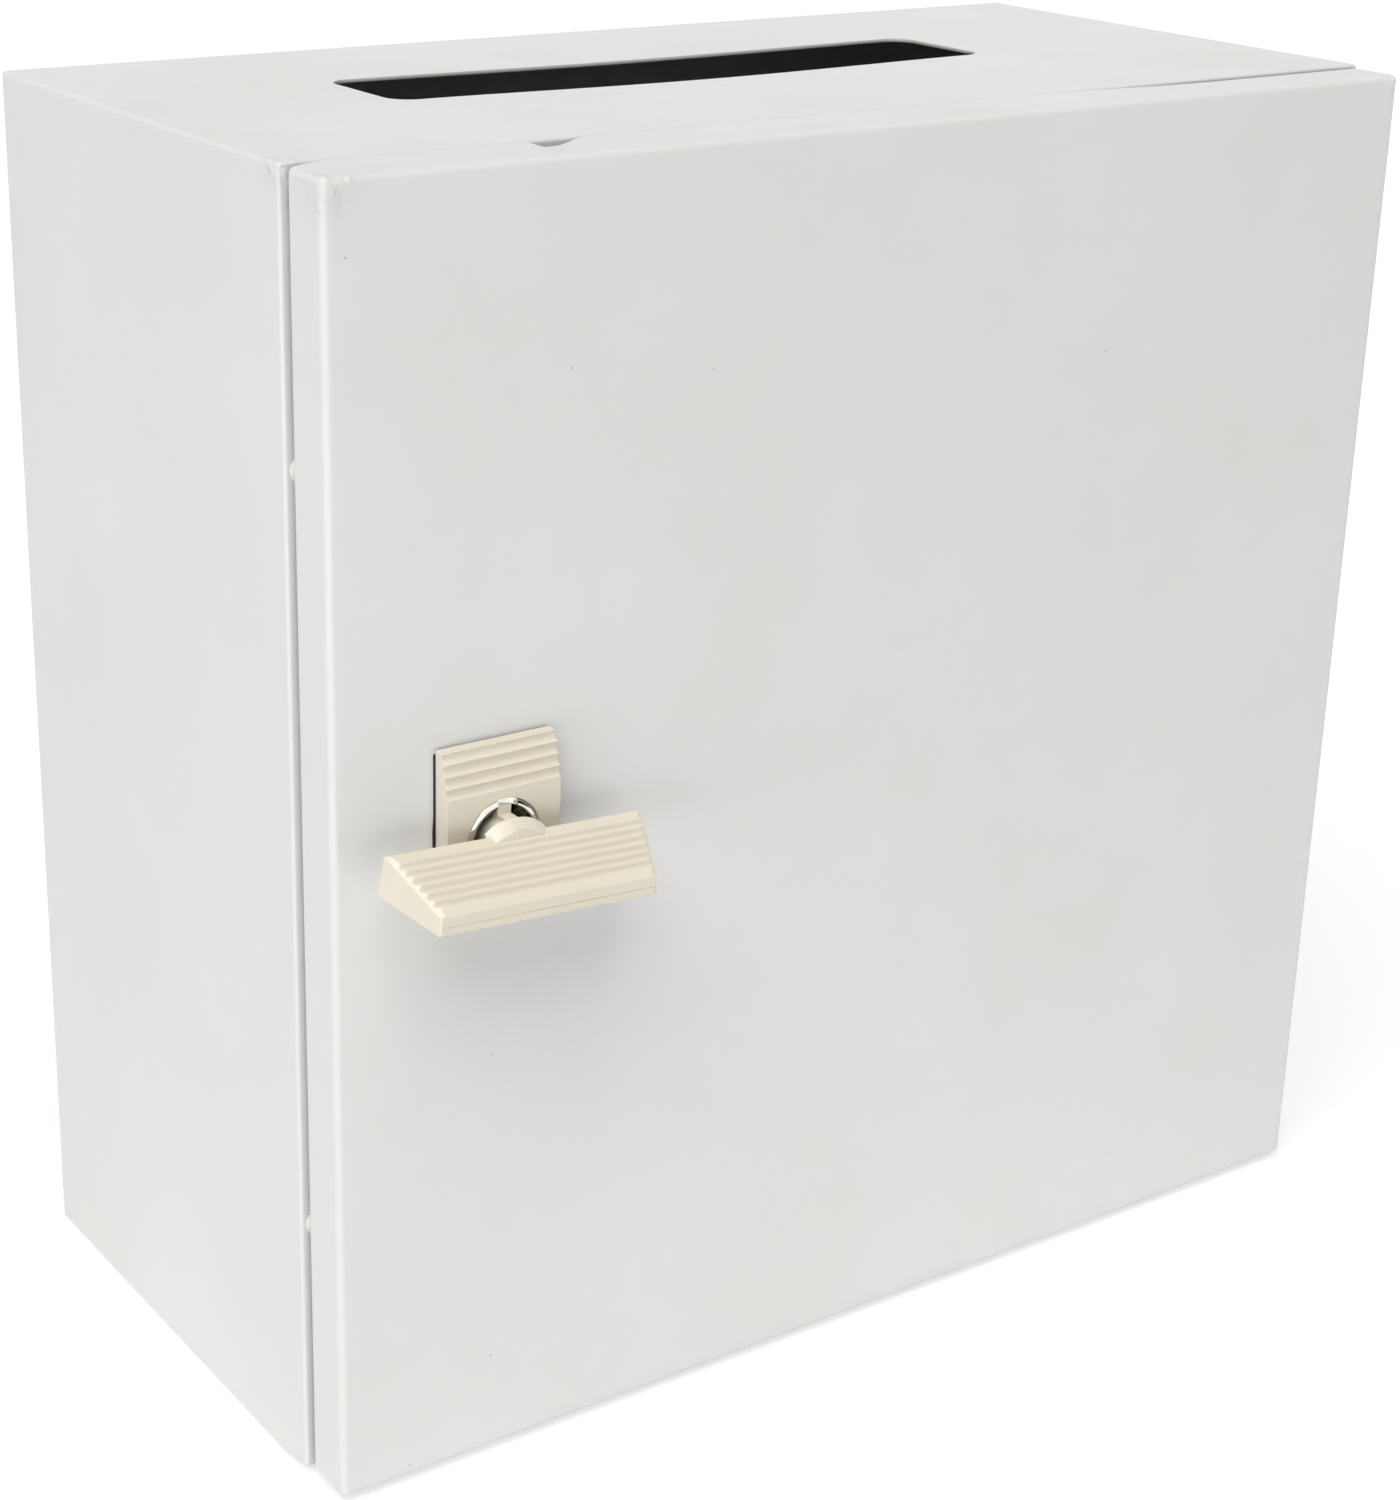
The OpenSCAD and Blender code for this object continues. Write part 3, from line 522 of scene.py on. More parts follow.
# Grey-white polyethylene plug, moulded: waxy and smooth
plug_plastic = finish("polyethylene_moulded_grey", "#E0E1DD", "#D4D5D0", 5, (0.4, 0.52), 0.5,
                      0.003, ior=1.51)[0]
foam = poured_foam()
# Sheet rubber, calendered: matt black with dust in its grain
rubber = finish("rubber_sheet_calendered", "#1C1C1A", "#101010", 6, (0.6, 0.75), 0.5, 0.01,
                specular=0.35)[0]


# ---------- body ----------

SLOT_HALF_W = 84.15
SLOT_HALF_D = 16.4
SLOT_X = -7.05
SLOT_Y = 5.3
SLOT_CORNER = 5.5
# The top sheet has been pressed down a little at the middle of the slot's long edges
FRONT_SAG = 0.75
BACK_SAG = 0.47


def slot_ring(grown, z):
    """The slot's outline moved outwards by a distance, sagging less the further out it is."""
    outline = ring(SLOT_HALF_W + grown, SLOT_HALF_D + grown, 0, SLOT_CORNER + grown, z, 40)
    start = ring(SLOT_HALF_W, SLOT_HALF_D, 0, SLOT_CORNER, z, 40)
    reach = 44.0
    points = []
    for (x, _, depth), (first_x, _, first_depth) in zip(outline, start):
        across = 1 - (first_x / SLOT_HALF_W) ** 2
        sag = (BACK_SAG if first_depth > 0 else FRONT_SAG) * across * across
        points.append((SLOT_X + x, SLOT_Y + depth, z - sag * (1 - smooth(grown / reach))))
    return points


def body_ring(half, y):
    outer = BODY_HALF if half > LIP_HALF + 10 else LIP_HALF
    return ring(half, half, BODY_MID_Z, half - outer + BODY_CORNER, y)


def body_shape():
    """One folded sheet: outer wall, front bend, flange, sealing lip and back again."""
    bend_y = BODY_FRONT_Y + BODY_BEND
    bend_half = BODY_HALF - BODY_BEND
    fold = 0.8
    fold_half = LIP_HALF + fold
    fold_y = BODY_FRONT_Y - fold
    tip = 0.35
    inner_half = BODY_HALF - BODY_SHEET
    profile = [(inner_half, BODY_BACK_Y - 0.2), (inner_half + 0.2, BODY_BACK_Y),
               (BODY_HALF - 0.2, BODY_BACK_Y), (BODY_HALF, BODY_BACK_Y - 0.2)]
    ground = [GROUND_Y - 2.5 * k for k in range(5)]
    profile += [(BODY_HALF, y) for y in ground]
    profile += arc((bend_half, bend_y), BODY_BEND, 0, -90, 8)
    profile += arc((fold_half, fold_y), fold, 90, 180, 4)
    profile += arc((LIP_HALF - tip, LIP_FRONT_Y + tip), tip, 0, -90, 3)
    profile += arc((LIP_HALF - BODY_SHEET + tip, LIP_FRONT_Y + tip), tip, -90, -180, 3)
    profile += arc((fold_half, fold_y), fold + BODY_SHEET, 180, 90, 5)
    crease_y = BODY_FRONT_Y + BODY_SHEET + BODY_CREASE
    profile += arc((inner_half - BODY_CREASE, crease_y), BODY_CREASE, -90, 0, 3)
    profile += [(inner_half, y) for y in reversed(ground)]
    bm = lofted([body_ring(half, y) for half, y in profile], closed=True)
    # The front end of the underside is ground away where its corners were welded
    for vert in bm.verts:
        if vert.co.z < 3 and vert.co.y < GROUND_Y:
            vert.co.z += GROUND_LIFT * smooth((GROUND_Y - vert.co.y) / GROUND_RUN)

    steps_out = [44, 33, 24, 16, 10, 6, 3, 1, 0.3]
    top, under = 2 * BODY_HALF, 2 * BODY_HALF - BODY_SHEET
    openings = []
    for z in (top, under):
        flat = {f for f in bm.faces if all(abs(v.co.z - z) < 1e-3 for v in f.verts)}
        openings.append([e for e in bm.edges if len(flat.intersection(e.link_faces)) == 1])
        bmesh.ops.delete(bm, geom=list(flat), context="FACES")
    rings = [slot_ring(grown, top) for grown in steps_out]
    rings += [slot_ring(0.09, top - 0.09), slot_ring(0, top - 0.3), slot_ring(0, under + 0.3),
              slot_ring(0.09, under + 0.09)]
    rings += [slot_ring(grown, under) for grown in reversed(steps_out)]
    rows = skin(bm, rings, caps=False)
    for row, opening in zip((rows[0], rows[-1]), openings):
        border = [bm.edges.get((row[k - 1], row[k])) for k in range(len(row))]
        bmesh.ops.triangle_fill(bm, use_beauty=True, edges=opening + border)
    tidy(bm)

    holes = [moved(turned([(2.25, BODY_FRONT_Y - 1), (2.25, BODY_FRONT_Y + 2)], 32),
                   Matrix.Translation((side * FIXING_X, 0, z)) @ ALONG_Y)
             for side in (-1, 1) for z in HINGE_Z]
    return carved(bm, *holes)


def back_panel_shape():
    """A tray pressed from sheet, welded in flush with the back edges of the body."""
    fold = 1.2
    inner_half = BODY_HALF - BODY_SHEET
    rim_in = inner_half - BODY_SHEET
    centre = (inner_half - fold, BODY_BACK_Y - fold)
    profile = arc(centre, fold - BODY_SHEET, 90, 0, 3)
    profile += [(rim_in, PANEL_RIM_Y + 0.2), (rim_in + 0.2, PANEL_RIM_Y),
                (inner_half - 0.2, PANEL_RIM_Y), (inner_half, PANEL_RIM_Y + 0.2)]
    profile += arc(centre, fold, 0, 90, 6)
    bm = lofted([body_ring(half, y) for half, y in profile])
    holes = [moved(turned([(4.6, PANEL_Y - 0.3), (4.35, PANEL_Y + 0.05), (4.25, PANEL_Y + 0.3),
                           (4.25, BODY_BACK_Y - 0.3), (4.35, BODY_BACK_Y - 0.05),
                           (4.6, BODY_BACK_Y + 0.3)], 40),
                   Matrix.Translation((x, 0, BODY_MID_Z + z)) @ ALONG_Y)
             for x in (-125, 125) for z in (-125, 125)]
    return carved(bm, *holes)


piece("folded_body", body_shape(), "cabinet", "powder_coat", body_paint, "body_shell")
piece("pressed_back", back_panel_shape(), "cabinet", "powder_coat", body_paint, "back_panel")


# ---------- door ----------

def door_shape():
    """A folded tray with soft bends, a dent in its top edge and notches past the hinges."""
    bend_y = DOOR_FRONT_Y + DOOR_BEND
    soft = 0.5
    inner_bend = DOOR_BEND - DOOR_SHEET
    profile = arc((DOOR_BEND, bend_y), DOOR_BEND, -90, -180, 8)
    profile += arc((soft, DOOR_BACK_Y - soft), soft, 180, 90, 3)
    profile += arc((DOOR_SHEET - soft, DOOR_BACK_Y - soft), soft, 90, 0, 3)
    profile += arc((DOOR_BEND, bend_y), inner_bend, -180, -90, 5)
    bm = lofted([ring(DOOR_HALF_W - step, DOOR_HALF_H - step, DOOR_MID_Z, DOOR_CORNER - step, y)
                 for step, y in profile])

    # Towards the lock side the top flange springs up and back a little, almost to the body.
    # The dent in it is about 15 mm long, where something was pushed in between the two.
    dent_start, dent_end = -94.0, -79.0
    places = [-150 + 300 * k / 30 for k in range(31)]
    places += [dent_start + (dent_end - dent_start) * k / 20 for k in range(21)]
    for at in places:
        bmesh.ops.bisect_plane(bm, geom=bm.verts[:] + bm.edges[:] + bm.faces[:],
                               plane_co=(at, 0, 0), plane_no=(1, 0, 0))
    sprung_back, sprung_up = 1.25, 0.5
    pushed_out, pushed_down = 0.25, 0.62
    top = DOOR_MID_Z + DOOR_HALF_H
    flange_w = DOOR_BACK_Y - DOOR_FRONT_Y - DOOR_BEND
    for vert in bm.verts:
        if vert.co.z < top - 2:
            continue
        x = vert.co.x
        back = smooth((vert.co.y - DOOR_FRONT_Y - DOOR_BEND) / flange_w)
        spring = back * smooth((100 - x) / 60) * smooth((x + 149) / 6)
        dent = back * smooth((x - dent_start) / 2.5) * smooth((dent_end - x) / 9.0)
        vert.co.y += sprung_back * spring * (1 - dent) - pushed_out * dent
        vert.co.z += sprung_up * spring * (1 - dent) - pushed_down * dent
    tidy(bm)

    notch_y = -72.43
    notch_half_h = 19
    notches = [block((DOOR_HALF_W - DOOR_SHEET - 1, notch_y, z - notch_half_h),
                     (DOOR_HALF_W + 1, DOOR_BACK_Y + 2, z + notch_half_h), 0.6)
               for z in HINGE_Z]
    hole = moved(turned([(9.2, DOOR_FRONT_Y - 1), (9.2, DOOR_SKIN_Y + 1)], 64), AT_LOCK @ ALONG_Y)
    return carved(bm, *notches, hole)


def gasket_shape():
    """A bead of foam with a low crown, a little uneven along its run."""
    middle = 129.5
    half_w = 3.5
    base_y = DOOR_SKIN_Y
    crown_y = -76.9
    round_r = 1.5
    profile = [(middle + half_w, base_y)]
    profile += arc((middle + half_w - round_r, crown_y - round_r), round_r, 0, 90, 4)
    profile += arc((middle - half_w + round_r, crown_y - round_r), round_r, 90, 180, 4)
    profile += [(middle - half_w, base_y)]
    rings = [ring(half, half, BODY_MID_Z, half - middle, y, 90) for half, y in profile]
    bm = lofted(rings, closed=True)
    for vert in bm.verts:
        if vert.co.y > base_y + 0.5:
            vert.co.y -= 0.12 + 0.12 * noise.noise(vert.co / 9)
    return bm


piece("folded_door", door_shape(), "door", "powder_coat", door_paint, "door_panel")
piece("foamed_gasket", gasket_shape(), "door", "black_foam", foam, "door_gasket")


# ---------- fixings ----------

def washer(radius, bore, thickness):
    edge = 0.25
    return turned([(bore, edge), (bore + edge, 0), (radius - edge, 0), (radius, edge),
                   (radius, thickness - edge), (radius - edge, thickness),
                   (bore + edge, thickness), (bore, thickness - edge)], 48, closed=True)


def hex_nut(width, bore, thickness):
    """A nut with its corners turned off at both ends."""
    corner_r = width / math.sqrt(3)
    face_r = width / 2 * 0.97
    bevel = (corner_r - face_r) * 0.5
    def flats(radius, height, angle):
        if radius < face_r - 1e-6:
            return radius
        off = (angle + math.pi / 6) % (math.pi / 3) - math.pi / 6
        return min(radius, width / 2 / math.cos(off))
    return turned([(bore, 0.5), (bore + 0.5, 0), (face_r, 0), (corner_r, bevel),
                   (corner_r, thickness - bevel), (face_r, thickness), (bore + 0.5, thickness),
                   (bore, thickness - 0.5)], 72, flats, closed=True)


def stud(radius, length, plain):
    """A weld stud: a plain foot, a thread and a chamfered tip."""
    pitch = 1.0
    profile = [(0, 0), (radius, 0), (radius, plain)]
    profile += threaded_run(radius, plain + 0.1, length - 0.7, pitch)
    profile += [(radius - 0.7, length), (0, length)]
    return turned(profile, 36, thread(pitch, 0.5, plain, length - 0.6))


def at_plate_studs(y):
    return [Matrix.Translation((x, y, BODY_MID_Z + z)) @ TOWARDS_FRONT
            for x in (-STUD_SPREAD, STUD_SPREAD) for z in (-STUD_SPREAD, STUD_SPREAD)]


spacer_l = 12.0
plate_t = 2.0
plate_front_y = PANEL_Y - spacer_l - plate_t
spacer = turned([(3.05, 0.4), (3.45, 0), (6.6, 0), (7, 0.4), (7, spacer_l - 0.4),
                 (6.6, spacer_l), (3.45, spacer_l), (3.05, spacer_l - 0.4)], 48, closed=True)
piece("galvanised_plate", softened("mounting_plate", 0.3), "cabinet", "galvanised_sheet",
      zinc_sheet, "mounting_plate")
piece("threaded_plate_studs", copies(stud(STUD_R, 22.4, 2.0), at_plate_studs(PANEL_Y)), "cabinet",
      "zinc_plated_steel", zinc, "plate_studs")
piece("turned_spacers", copies(spacer, at_plate_studs(PANEL_Y)), "cabinet", "black_nylon",
      nylon, "plate_spacers")
piece("pressed_washers", copies(washer(*M6_WASHER), at_plate_studs(plate_front_y)),
      "cabinet", "zinc_plated_steel", zinc, "plate_washers")
piece("chamfered_nuts", copies(hex_nut(*M6_NUT), at_plate_studs(plate_front_y - WASHER_T)),
      "cabinet", "zinc_plated_steel", zinc, "plate_nuts")

body_earth = Matrix.Translation((EARTH_X, -39.6, BODY_SHEET))
door_earth = Matrix.Translation((EARTH_X, DOOR_SKIN_Y, 46)) @ ALONG_Y
for owner, body, place in (("body", "cabinet", body_earth), ("door", "door", door_earth)):
    on_washer = place @ Matrix.Translation((0, 0, WASHER_T))
    piece(owner + "_earth_stud_threaded", moved(stud(STUD_R, 14.0, 0.8), place), body,
          "copper_plated_steel", copper, owner + "_earth_stud")
    piece(owner + "_earth_washer_pressed", moved(washer(*M6_WASHER), place), body,
          "zinc_plated_steel", zinc, owner + "_earth_washer")
    piece(owner + "_earth_nut_chamfered", moved(hex_nut(*M6_NUT), on_washer), body,
          "zinc_plated_steel", zinc, owner + "_earth_nut")


def plug_shape(z):
    """A push-in plug: a low dome with a thin rim, a stem and a barb behind the sheet."""
    rim_r, rise = 3.5, 1.3
    dome_r = (rim_r ** 2 + rise ** 2) / (2 * rise)
    profile = [(0, -2.7), (1.55, -2.7), (2.55, -1.1), (2.15, -1.1), (2.15, 0), (rim_r - 0.15, 0),
               (rim_r, 0.12)]
    low = math.degrees(math.asin((dome_r - rise + 0.12) / dome_r))
    profile += [(x, h) for x, h in arc((0, rise - dome_r), dome_r, low, 90, 8)][1:]
    return moved(turned(profile, 40),
                 Matrix.Translation((-FIXING_X, BODY_FRONT_Y, z)) @ TOWARDS_FRONT)


for level, z in zip(("lower", "upper"), HINGE_Z):
    piece(level + "_plug_domed", plug_shape(z), "cabinet", "grey_plug_plastic", plug_plastic,
          level + "_hole_plug")


# ---------- hinges ----------

def pin_shape(z):
    """A hinge pin with a domed head and a groove for its clip."""
    top = 18.0
    profile = [(0, -20.6), (1.2, -20.6), (1.5, -20.2), (1.5, -18.75), (1.1, -18.7),
               (1.1, -18.0), (1.5, -17.95), (1.5, top), (2.45, top), (2.6, top + 0.15)]
    profile += [(2.6 * math.cos(a), top + 0.35 + 0.85 * math.sin(a))
                for a in (math.radians(15 * k) for k in range(7))]
    return moved(turned(profile, 32), Matrix.Translation((HINGE_X, HINGE_Y, z)))


for level, z in zip(("lower", "upper"), HINGE_Z):
    piece(level + "_bracket_pressed", softened(level + "_hinge_bracket", 0.25), "cabinet",
          "zinc_plated_steel", zinc, level + "_hinge_bracket")
    piece(level + "_pin_headed", pin_shape(z), "cabinet", "zinc_plated_steel", zinc,
          level + "_hinge_pin")
    piece(level + "_leaf_rolled", softened(level + "_hinge_leaf", 0.2), "door",
          "zinc_plated_steel", zinc, level + "_hinge_leaf")
piece("pin_clips_sprung", softened("hinge_pin_clips", 0.08), "cabinet", "spring_steel",
      phosphated, "hinge_pin_clips")
piece("hinge_screws_countersunk", softened("hinge_screws", 0.12), "cabinet",
      "zinc_plated_steel", zinc, "hinge_screws")
piece("hinge_nuts_square", softened("hinge_nuts", 0.2), "cabinet", "zinc_plated_steel", zinc,
      "hinge_nuts")


# ---------- lock ----------

def scallop(part):
    """The height of a moulded rib that bulges between two sharp grooves."""
    return math.sqrt(1 - (0.8 * (2 * part - 1)) ** 2) / 0.4 - 1.5


def wave(part):
    """The height of a soft rib with as much groove as crest."""
    return 0.5 - 0.5 * math.cos(2 * math.pi * part)


def ribbed(low, high, ribs, depth, height):
    """Points along a slope that is ribbed across, sunk below the line between its ends."""
    start, end = Vector(low), Vector(high)
    along = end - start
    outwards = Vector((-along.y, along.x)).normalized()
    steps = ribs * 12
    return [tuple(start + along * (k / steps) - outwards * depth * (1 - height(k % 12 / 12)))
            for k in range(1, steps)]


def bar(ends, middle, left, right, edge, border):
    """A solid drawn along X between rounded ends, from outlines in (reach forwards, Z).

    Left and right give where it ends for each reach. Within the border the outline of the
    ends turns into that of the middle.
    """
    rings = []
    turns = [math.radians(a) for a in (0, 22.5, 45, 67.5, 90)]
    for end, side, order in ((left, 1, turns), (right, -1, turns[::-1])):
        for turn in order:
            shrink = edge * (1 - math.sin(turn))
            back = edge * (1 - math.cos(turn))
            rings.append([(end(p) + side * back, DOOR_FRONT_Y - p, z)
                          for p, z in inset(ends, shrink)])
        fade = []
        for k in (1, 2, 3, 4):
            share = smooth(k / 4)
            mixed = [Vector(a).lerp(Vector(b), share) for a, b in zip(ends, middle)]
            fade.append([(end(p) + side * (edge + border * k / 4), DOOR_FRONT_Y - p, z)
                         for p, z in mixed])
        if side > 0:
            rings += fade
        else:
            rings[-len(turns):-len(turns)] = fade[::-1]
    return lofted(rings)


def escutcheon_shape():
    """A moulded plate, flat at the keyhole and ribbed where it slopes to its top edge."""
    base = DOOR_FRONT_Y - ESCUTCHEON_BACK_Y
    low, high = (base + 4.5, 11.04), (base + 2.2, 21.2)
    foot = [(base, -18.0)]
    foot += rounded([(base + 3.0, -18.0, 0.3), (base + 4.5, -16.5, 0.5), (*low, 0)])[:-1]
    head = [(base + 2.0, 21.05), (base + 1.7, 21.2), (base, 21.2)]
    outline = foot + ribbed(low, high, 4, 0.9, scallop) + head
    bm = bar(outline, outline, lambda p: -14.0, lambda p: 14.0, 0.1, 0.1)
    hole = turned([(8.95, ESCUTCHEON_BACK_Y + 1), (8.95, -87.1), (9.1, -87.35), (9.4, -88.5)], 72)
    return carved(moved(bm, AT_LOCK), moved(hole, AT_LOCK @ ALONG_Y))


def seal_shape():
    """A thin rubber gasket, a little wavy where it shows past the plate."""
    left = []
    for k in range(49):
        z = 20.2 - 37.2 * k / 48
        left.append((-14.0 - 0.3 - 0.25 * smooth((6 - abs(z - 1)) / 5)
                     - 0.06 * noise.noise((0, 0, z / 2)), z))
    outline = left + [(14.0, -17.0), (14.0, 20.2)]
    hole = turned([(9.05, -5), (9.05, 5)], 64)
    flat = carved(slab(outline, 0, 0.5, 0.08), hole)
    return moved(flat, Matrix.Translation((LOCK_X, DOOR_FRONT_Y, LOCK_Z)) @ TOWARDS_FRONT)


def barrel_shape():
    """A turned and threaded barrel with a sloping rim about its recess, notched for the key."""
    rim_in, crest, outer, bore = 7.55, 7.85, 8.85, 6.05
    seat_y = -82.15
    back_y = -67.2
    profile = arc((rim_in + 0.25, BARREL_FRONT_Y + 0.25), 0.25, 180, 270, 5)
    profile += [(crest, BARREL_FRONT_Y), (8.2, BARREL_FRONT_Y + 0.1), (8.6, BARREL_FRONT_Y + 0.27),
                (outer - 0.05, BARREL_FRONT_Y + 0.42), (outer, BARREL_FRONT_Y + 0.6),
                (outer, -81.0)]
    profile += threaded_run(outer, -80.9, back_y - 0.6, 1.0)
    profile += [(outer - 0.6, back_y), (bore + 0.3, back_y), (bore, back_y - 0.3),
                (bore, seat_y), (rim_in, seat_y)]
    bm = turned(profile, 72, thread(1.0, 0.45, -81.0, back_y - 0.5), closed=True)
    notches = [block((-1.9, BARREL_FRONT_Y - 1, 6.5), (2.9, BARREL_FRONT_Y + 0.95, 10), 0.1),
               block((-2.9, BARREL_FRONT_Y - 1, -10), (1.9, BARREL_FRONT_Y + 0.95, -6.5), 0.1)]
    return carved(moved(bm, AT_LOCK @ ALONG_Y), *[moved(notch, TURNED) for notch in notches])


def insert_shape():
    """A cupped and slotted head on a shaft, with a square tail for the cam."""
    face = INSERT_FACE_Y
    profile = [(0, CUP_Y), (4.9, CUP_Y), (5.1, CUP_Y - 0.2), (5.1, face + 1.7),
               (6.75, face + 0.12), (6.9, face), (7.0, face), (7.15, face + 0.15),
               (7.2, face + 0.4), (7.2, face + 5), (6, face + 5), (6, CAM_Y), (0, CAM_Y)]
    bm = moved(turned(profile, 72), ALONG_Y)
    tail = block((-3.5, CAM_Y - 1, -3.5), (3.5, CAM_Y + 2.5, 3.5), 0.3)
    bm = carved(bm, tail, operation="UNION")
    slot_cut = block((-1.8, face - 1, -9), (2.8, CUP_Y, 9), 0.15)
    screw_bore = moved(turned([(2.55, -71.4), (2.55, -62)], 32), ALONG_Y)
    return moved(carved(bm, slot_cut, screw_bore), TURNED)


def boss_shape():
    """A low rounded mound that runs down the slope of the bar and ends in a flat face."""
    back_p, front_p = 8.7, 12.05
    fall = 9.2 / 15.2
    rings = []
    for p, shrink in ((back_p, 0.25), (back_p + 0.25, 0), (front_p - 0.3, 0),
                      (front_p - 0.09, 0.09), (front_p, 0.3)):
        foot = 3.2 - (p - 9.5) * fall
        crown = []
        for k in range(25):
            x = -7.3 + 14.6 * k / 24
            rise = 2.55 * (1 - abs(x / 7.3) ** 2.4) - 0.1
            crown.append((x * (1 - shrink / 7.3), DOOR_FRONT_Y - p, foot + rise - shrink))
        rings.append(crown + [(7.0, DOOR_FRONT_Y - p, -4.5), (-7.0, DOOR_FRONT_Y - p, -4.5)])
    return lofted(rings)


def handle_shape():
    """A wedge bar with seven soft grooves across its slope, a boss, a shank and a flat blade."""
    slope_back, slope_front = (9.5, 3.2), (24.7, -6.0)
    first, last = (22.95, -4.94), (12.05, 1.66)
    corners = rounded([(8.2, -6.4, 0.5), (24.7, -10.5, 0.6), (*slope_front, 0.5),
                       (*slope_back, 0.5)])
    plain, waved = (corners[:15] + ribbed(first, last, 6, depth, wave) + corners[15:]
                    for depth in (0.0, 0.75))
    half = 31.9
    draft = 0.35
    bm = bar(plain, waved, lambda p: -half + (p - slope_back[0]) * draft,
             lambda p: half - (p - slope_back[0]) * draft, 0.4, 0.8)
    shank = turned([(0, 0.8), (4.3, 0.8), (4.6, 1.1), (4.6, 12), (0, 12)], 48)
    forwards = Matrix.Translation((0, DOOR_FRONT_Y, 0)) @ TOWARDS_FRONT
    blade = block((-1.65, -87.3, -7.5), (1.65, CUP_Y - 0.3, 7.5), 0.2)
    web = block((-1.65, -92.5, -5.5), (1.65, -85.5, 5.5), 0.2)
    bm = carved(bm, boss_shape(), moved(shank, forwards), blade, web, operation="UNION")
    # The mould's parting line runs along the middle of the front face
    front_y = DOOR_FRONT_Y - slope_front[0]
    parting = block((-29, front_y - 0.5, -8.45), (29, front_y + 0.1, -8.25), 0.02)
    return moved(carved(bm, parting), TURNED)


def cam_screw_shape():
    """A socket cap screw."""
    head_y = CAM_Y + 3.5
    profile = [(0, head_y - 8), (2.1, head_y - 8), (2.5, head_y - 7.6), (2.5, head_y),
               (4.1, head_y), (4.3, head_y + 0.2), (4.3, head_y + 2.9), (4.0, head_y + 3.2),
               (0, head_y + 3.2)]
    bm = moved(turned(profile, 48), ALONG_Y)
    socket = turned([(2.3, head_y + 1.2), (2.3, head_y + 5)], 6)
    return moved(carved(bm, moved(socket, ALONG_Y)), TURNED)


def at_lock(bm, y):
    return moved(bm, AT_LOCK @ Matrix.Translation((0, y, 0)) @ ALONG_Y)


piece("rubber_gasket_thin", seal_shape(), "door", "black_rubber", rubber, "lock_seal")
piece("ribbed_escutcheon", escutcheon_shape(), "door", "cream_plastic", cream,
      "lock_escutcheon", sharp=50)
piece("threaded_barrel", barrel_shape(), "door", "bright_plating", nickel, "lock_barrel")
piece("barrel_washer", at_lock(washer(13, 9.05, WASHER_T), DOOR_SKIN_Y), "door",
      "zinc_plated_steel", zinc, "lock_washer")
piece("barrel_nut", at_lock(hex_nut(24, 9.05, 5), DOOR_SKIN_Y + WASHER_T), "door",
      "zinc_plated_steel", zinc, "lock_nut")
piece("cupped_insert", insert_shape(), "lock_rotor", "bright_plating", cup_nickel_painted_shade,
      "lock_insert")
piece("ribbed_handle", handle_shape(), "lock_rotor", "cream_plastic", cream, "t_handle",
      sharp=50)
piece("pressed_cam", softened("lock_cam", 0.25), "lock_rotor", "zinc_plated_steel", zinc,
      "lock_cam")
piece("screw_washer", moved(washer(6, 2.55, 1), TURNED @ Matrix.Translation(
    (0, CAM_Y + 2.5, 0)) @ ALONG_Y), "lock_rotor", "zinc_plated_steel", zinc, "cam_washer")
piece("socket_screw", cam_screw_shape(), "lock_rotor", "zinc_plated_steel", zinc, "cam_screw")


# ---------- stage ----------

def stand_camera():
    """Stands off the front left corner, a little above the top, and looks down at the box."""
    data = bpy.data.cameras.new("camera")
    data.sensor_width = 36
    data.lens = 69.1188
    data.shift_x, data.shift_y = 0.049563, -0.037921
    data.clip_start, data.clip_end = 0.05, 50
    camera = bpy.data.objects.new("camera", data)
    spot = (-0.40705, -0.56435, 0.39851)
    tilt, roll, swing = 69.6467, -1.1341, -34.0490
    turn = Euler([math.radians(a) for a in (tilt, roll, swing)], "XYZ")
    camera.matrix_world = Matrix.Translation(spot) @ turn.to_matrix().to_4x4()
    bpy.context.scene.collection.objects.link(camera)
    bpy.context.scene.camera = camera


def seen_directly(tree):
    """1 for rays from the camera, a reflection or through glass."""
    path = add(tree, "ShaderNodeLightPath")
    either = add(tree, "ShaderNodeMath", {0: path.outputs["Is Camera Ray"],
                                          1: path.outputs["Is Glossy Ray"]}, operation="MAXIMUM")
    return add(tree, "ShaderNodeMath", {0: either.outputs[0],
                                        1: path.outputs["Is Transmission Ray"]},
               operation="MAXIMUM").outputs[0]


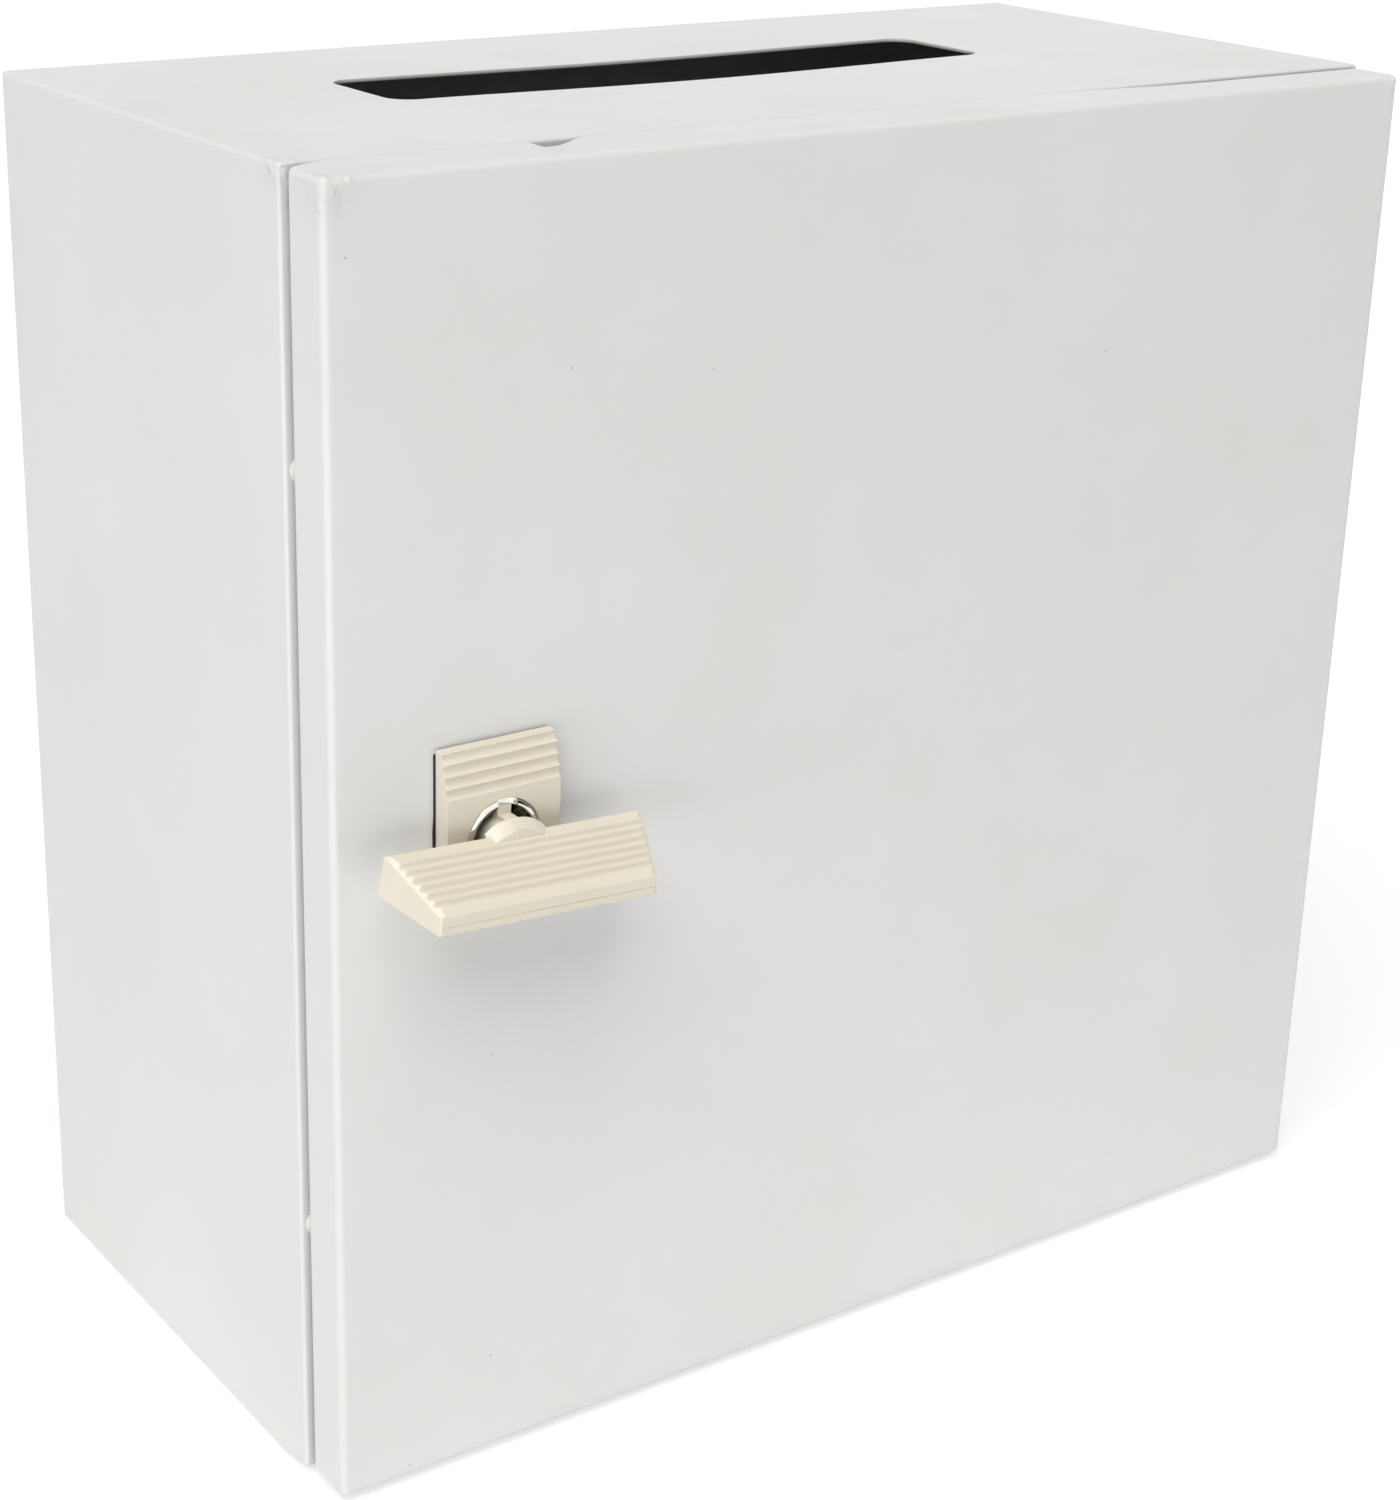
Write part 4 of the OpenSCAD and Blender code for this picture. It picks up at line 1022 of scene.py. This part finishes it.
def light_stage():
    """A white surround with a black card to the right, and three lamps.

    A broad one stands above. Two low ones, at the left and in front, lift the upright faces.
    """
    world = bpy.data.worlds.new("surround")
    world.use_nodes = True
    bpy.context.scene.world = world
    tree = world.node_tree
    fill = 0.24
    path = add(tree, "ShaderNodeLightPath")
    place = add(tree, "ShaderNodeTexCoord").outputs["Generated"]
    card = Vector((0.78, -0.60, 0.10)).normalized()
    towards = add(tree, "ShaderNodeVectorMath", {0: place, 1: card}, operation="DOT_PRODUCT")
    flag = add(tree, "ShaderNodeMapRange", {"Value": towards.outputs["Value"], "From Min": 0.87,
                                            "From Max": 0.91}, interpolation_type="SMOOTHSTEP")
    mirrored = add(tree, "ShaderNodeMath", {0: flag.outputs[0],
                                            1: path.outputs["Is Glossy Ray"]},
                   operation="MULTIPLY")
    shade = add(tree, "ShaderNodeMix", {0: seen_directly(tree), 6: (fill, fill, 1.03 * fill, 1),
                                        7: (1, 1, 1, 1)}, data_type="RGBA")
    dark = add(tree, "ShaderNodeMix", {0: mirrored.outputs[0], 6: shade.outputs[2],
                                       7: (0.02, 0.02, 0.02, 1)}, data_type="RGBA")
    tree.links.new(dark.outputs[2], tree.nodes["Background"].inputs["Color"])

    high = bpy.data.lights.new("high_lamp", "SUN")
    high.energy = 2.8
    high.color = (1.0, 0.985, 0.92)
    high.angle = math.radians(50)
    low = bpy.data.lights.new("low_lamp", "AREA")
    front = bpy.data.lights.new("front_lamp", "AREA")
    for lamp, energy in ((low, 2.0), (front, 0.5)):
        lamp.shape = "DISK"
        lamp.size = 0.5
        lamp.energy = energy
        lamp.color = (0.96, 0.985, 1.0)
    for lamp, spot, aim in ((high, (0, 0, 0), (0.35, 0.35, -0.87)),
                            (low, (-0.70, -0.42, 0.0), (0.70, 0.42, 0.15)),
                            (front, (-0.15, -0.90, 0.02), (0.15, 0.90, 0.13))):
        source = bpy.data.objects.new(lamp.name, lamp)
        source.matrix_world = (Matrix.Translation(spot)
                               @ Vector(aim).to_track_quat("-Z", "Y").to_matrix().to_4x4())
        bpy.context.scene.collection.objects.link(source)


def lay_floor():
    """Matt white paper that keeps the contact shadow and is white where light reaches it."""
    bm = bmesh.new()
    reach = 9.0
    bm.faces.new([bm.verts.new((x * reach, y * reach, 0))
                  for x, y in ((-1, -1), (1, -1), (1, 1), (-1, 1))])
    floor = bare_object(bm, "floor")
    material = bpy.data.materials.new("white_paper_matt")
    material.use_nodes = True
    tree = material.node_tree
    tree.nodes.clear()
    paper = add(tree, "ShaderNodeBsdfDiffuse", {"Color": srgb("#F7F7F7")})
    seen_paper = add(tree, "ShaderNodeBsdfDiffuse", {"Color": (0.42, 0.42, 0.42, 1)})
    glow = add(tree, "ShaderNodeEmission", {"Color": (1, 1, 1, 1), "Strength": 0.62})
    lit = add(tree, "ShaderNodeAddShader", {0: seen_paper.outputs[0], 1: glow.outputs[0]})
    mix = add(tree, "ShaderNodeMixShader", {0: seen_directly(tree), 1: paper.outputs[0],
                                            2: lit.outputs[0]})
    add(tree, "ShaderNodeOutputMaterial", {"Surface": mix.outputs[0]})
    floor.data.materials.append(material)


stand_camera()
light_stage()
lay_floor()
bpy.context.scene.view_settings.view_transform = "Standard"
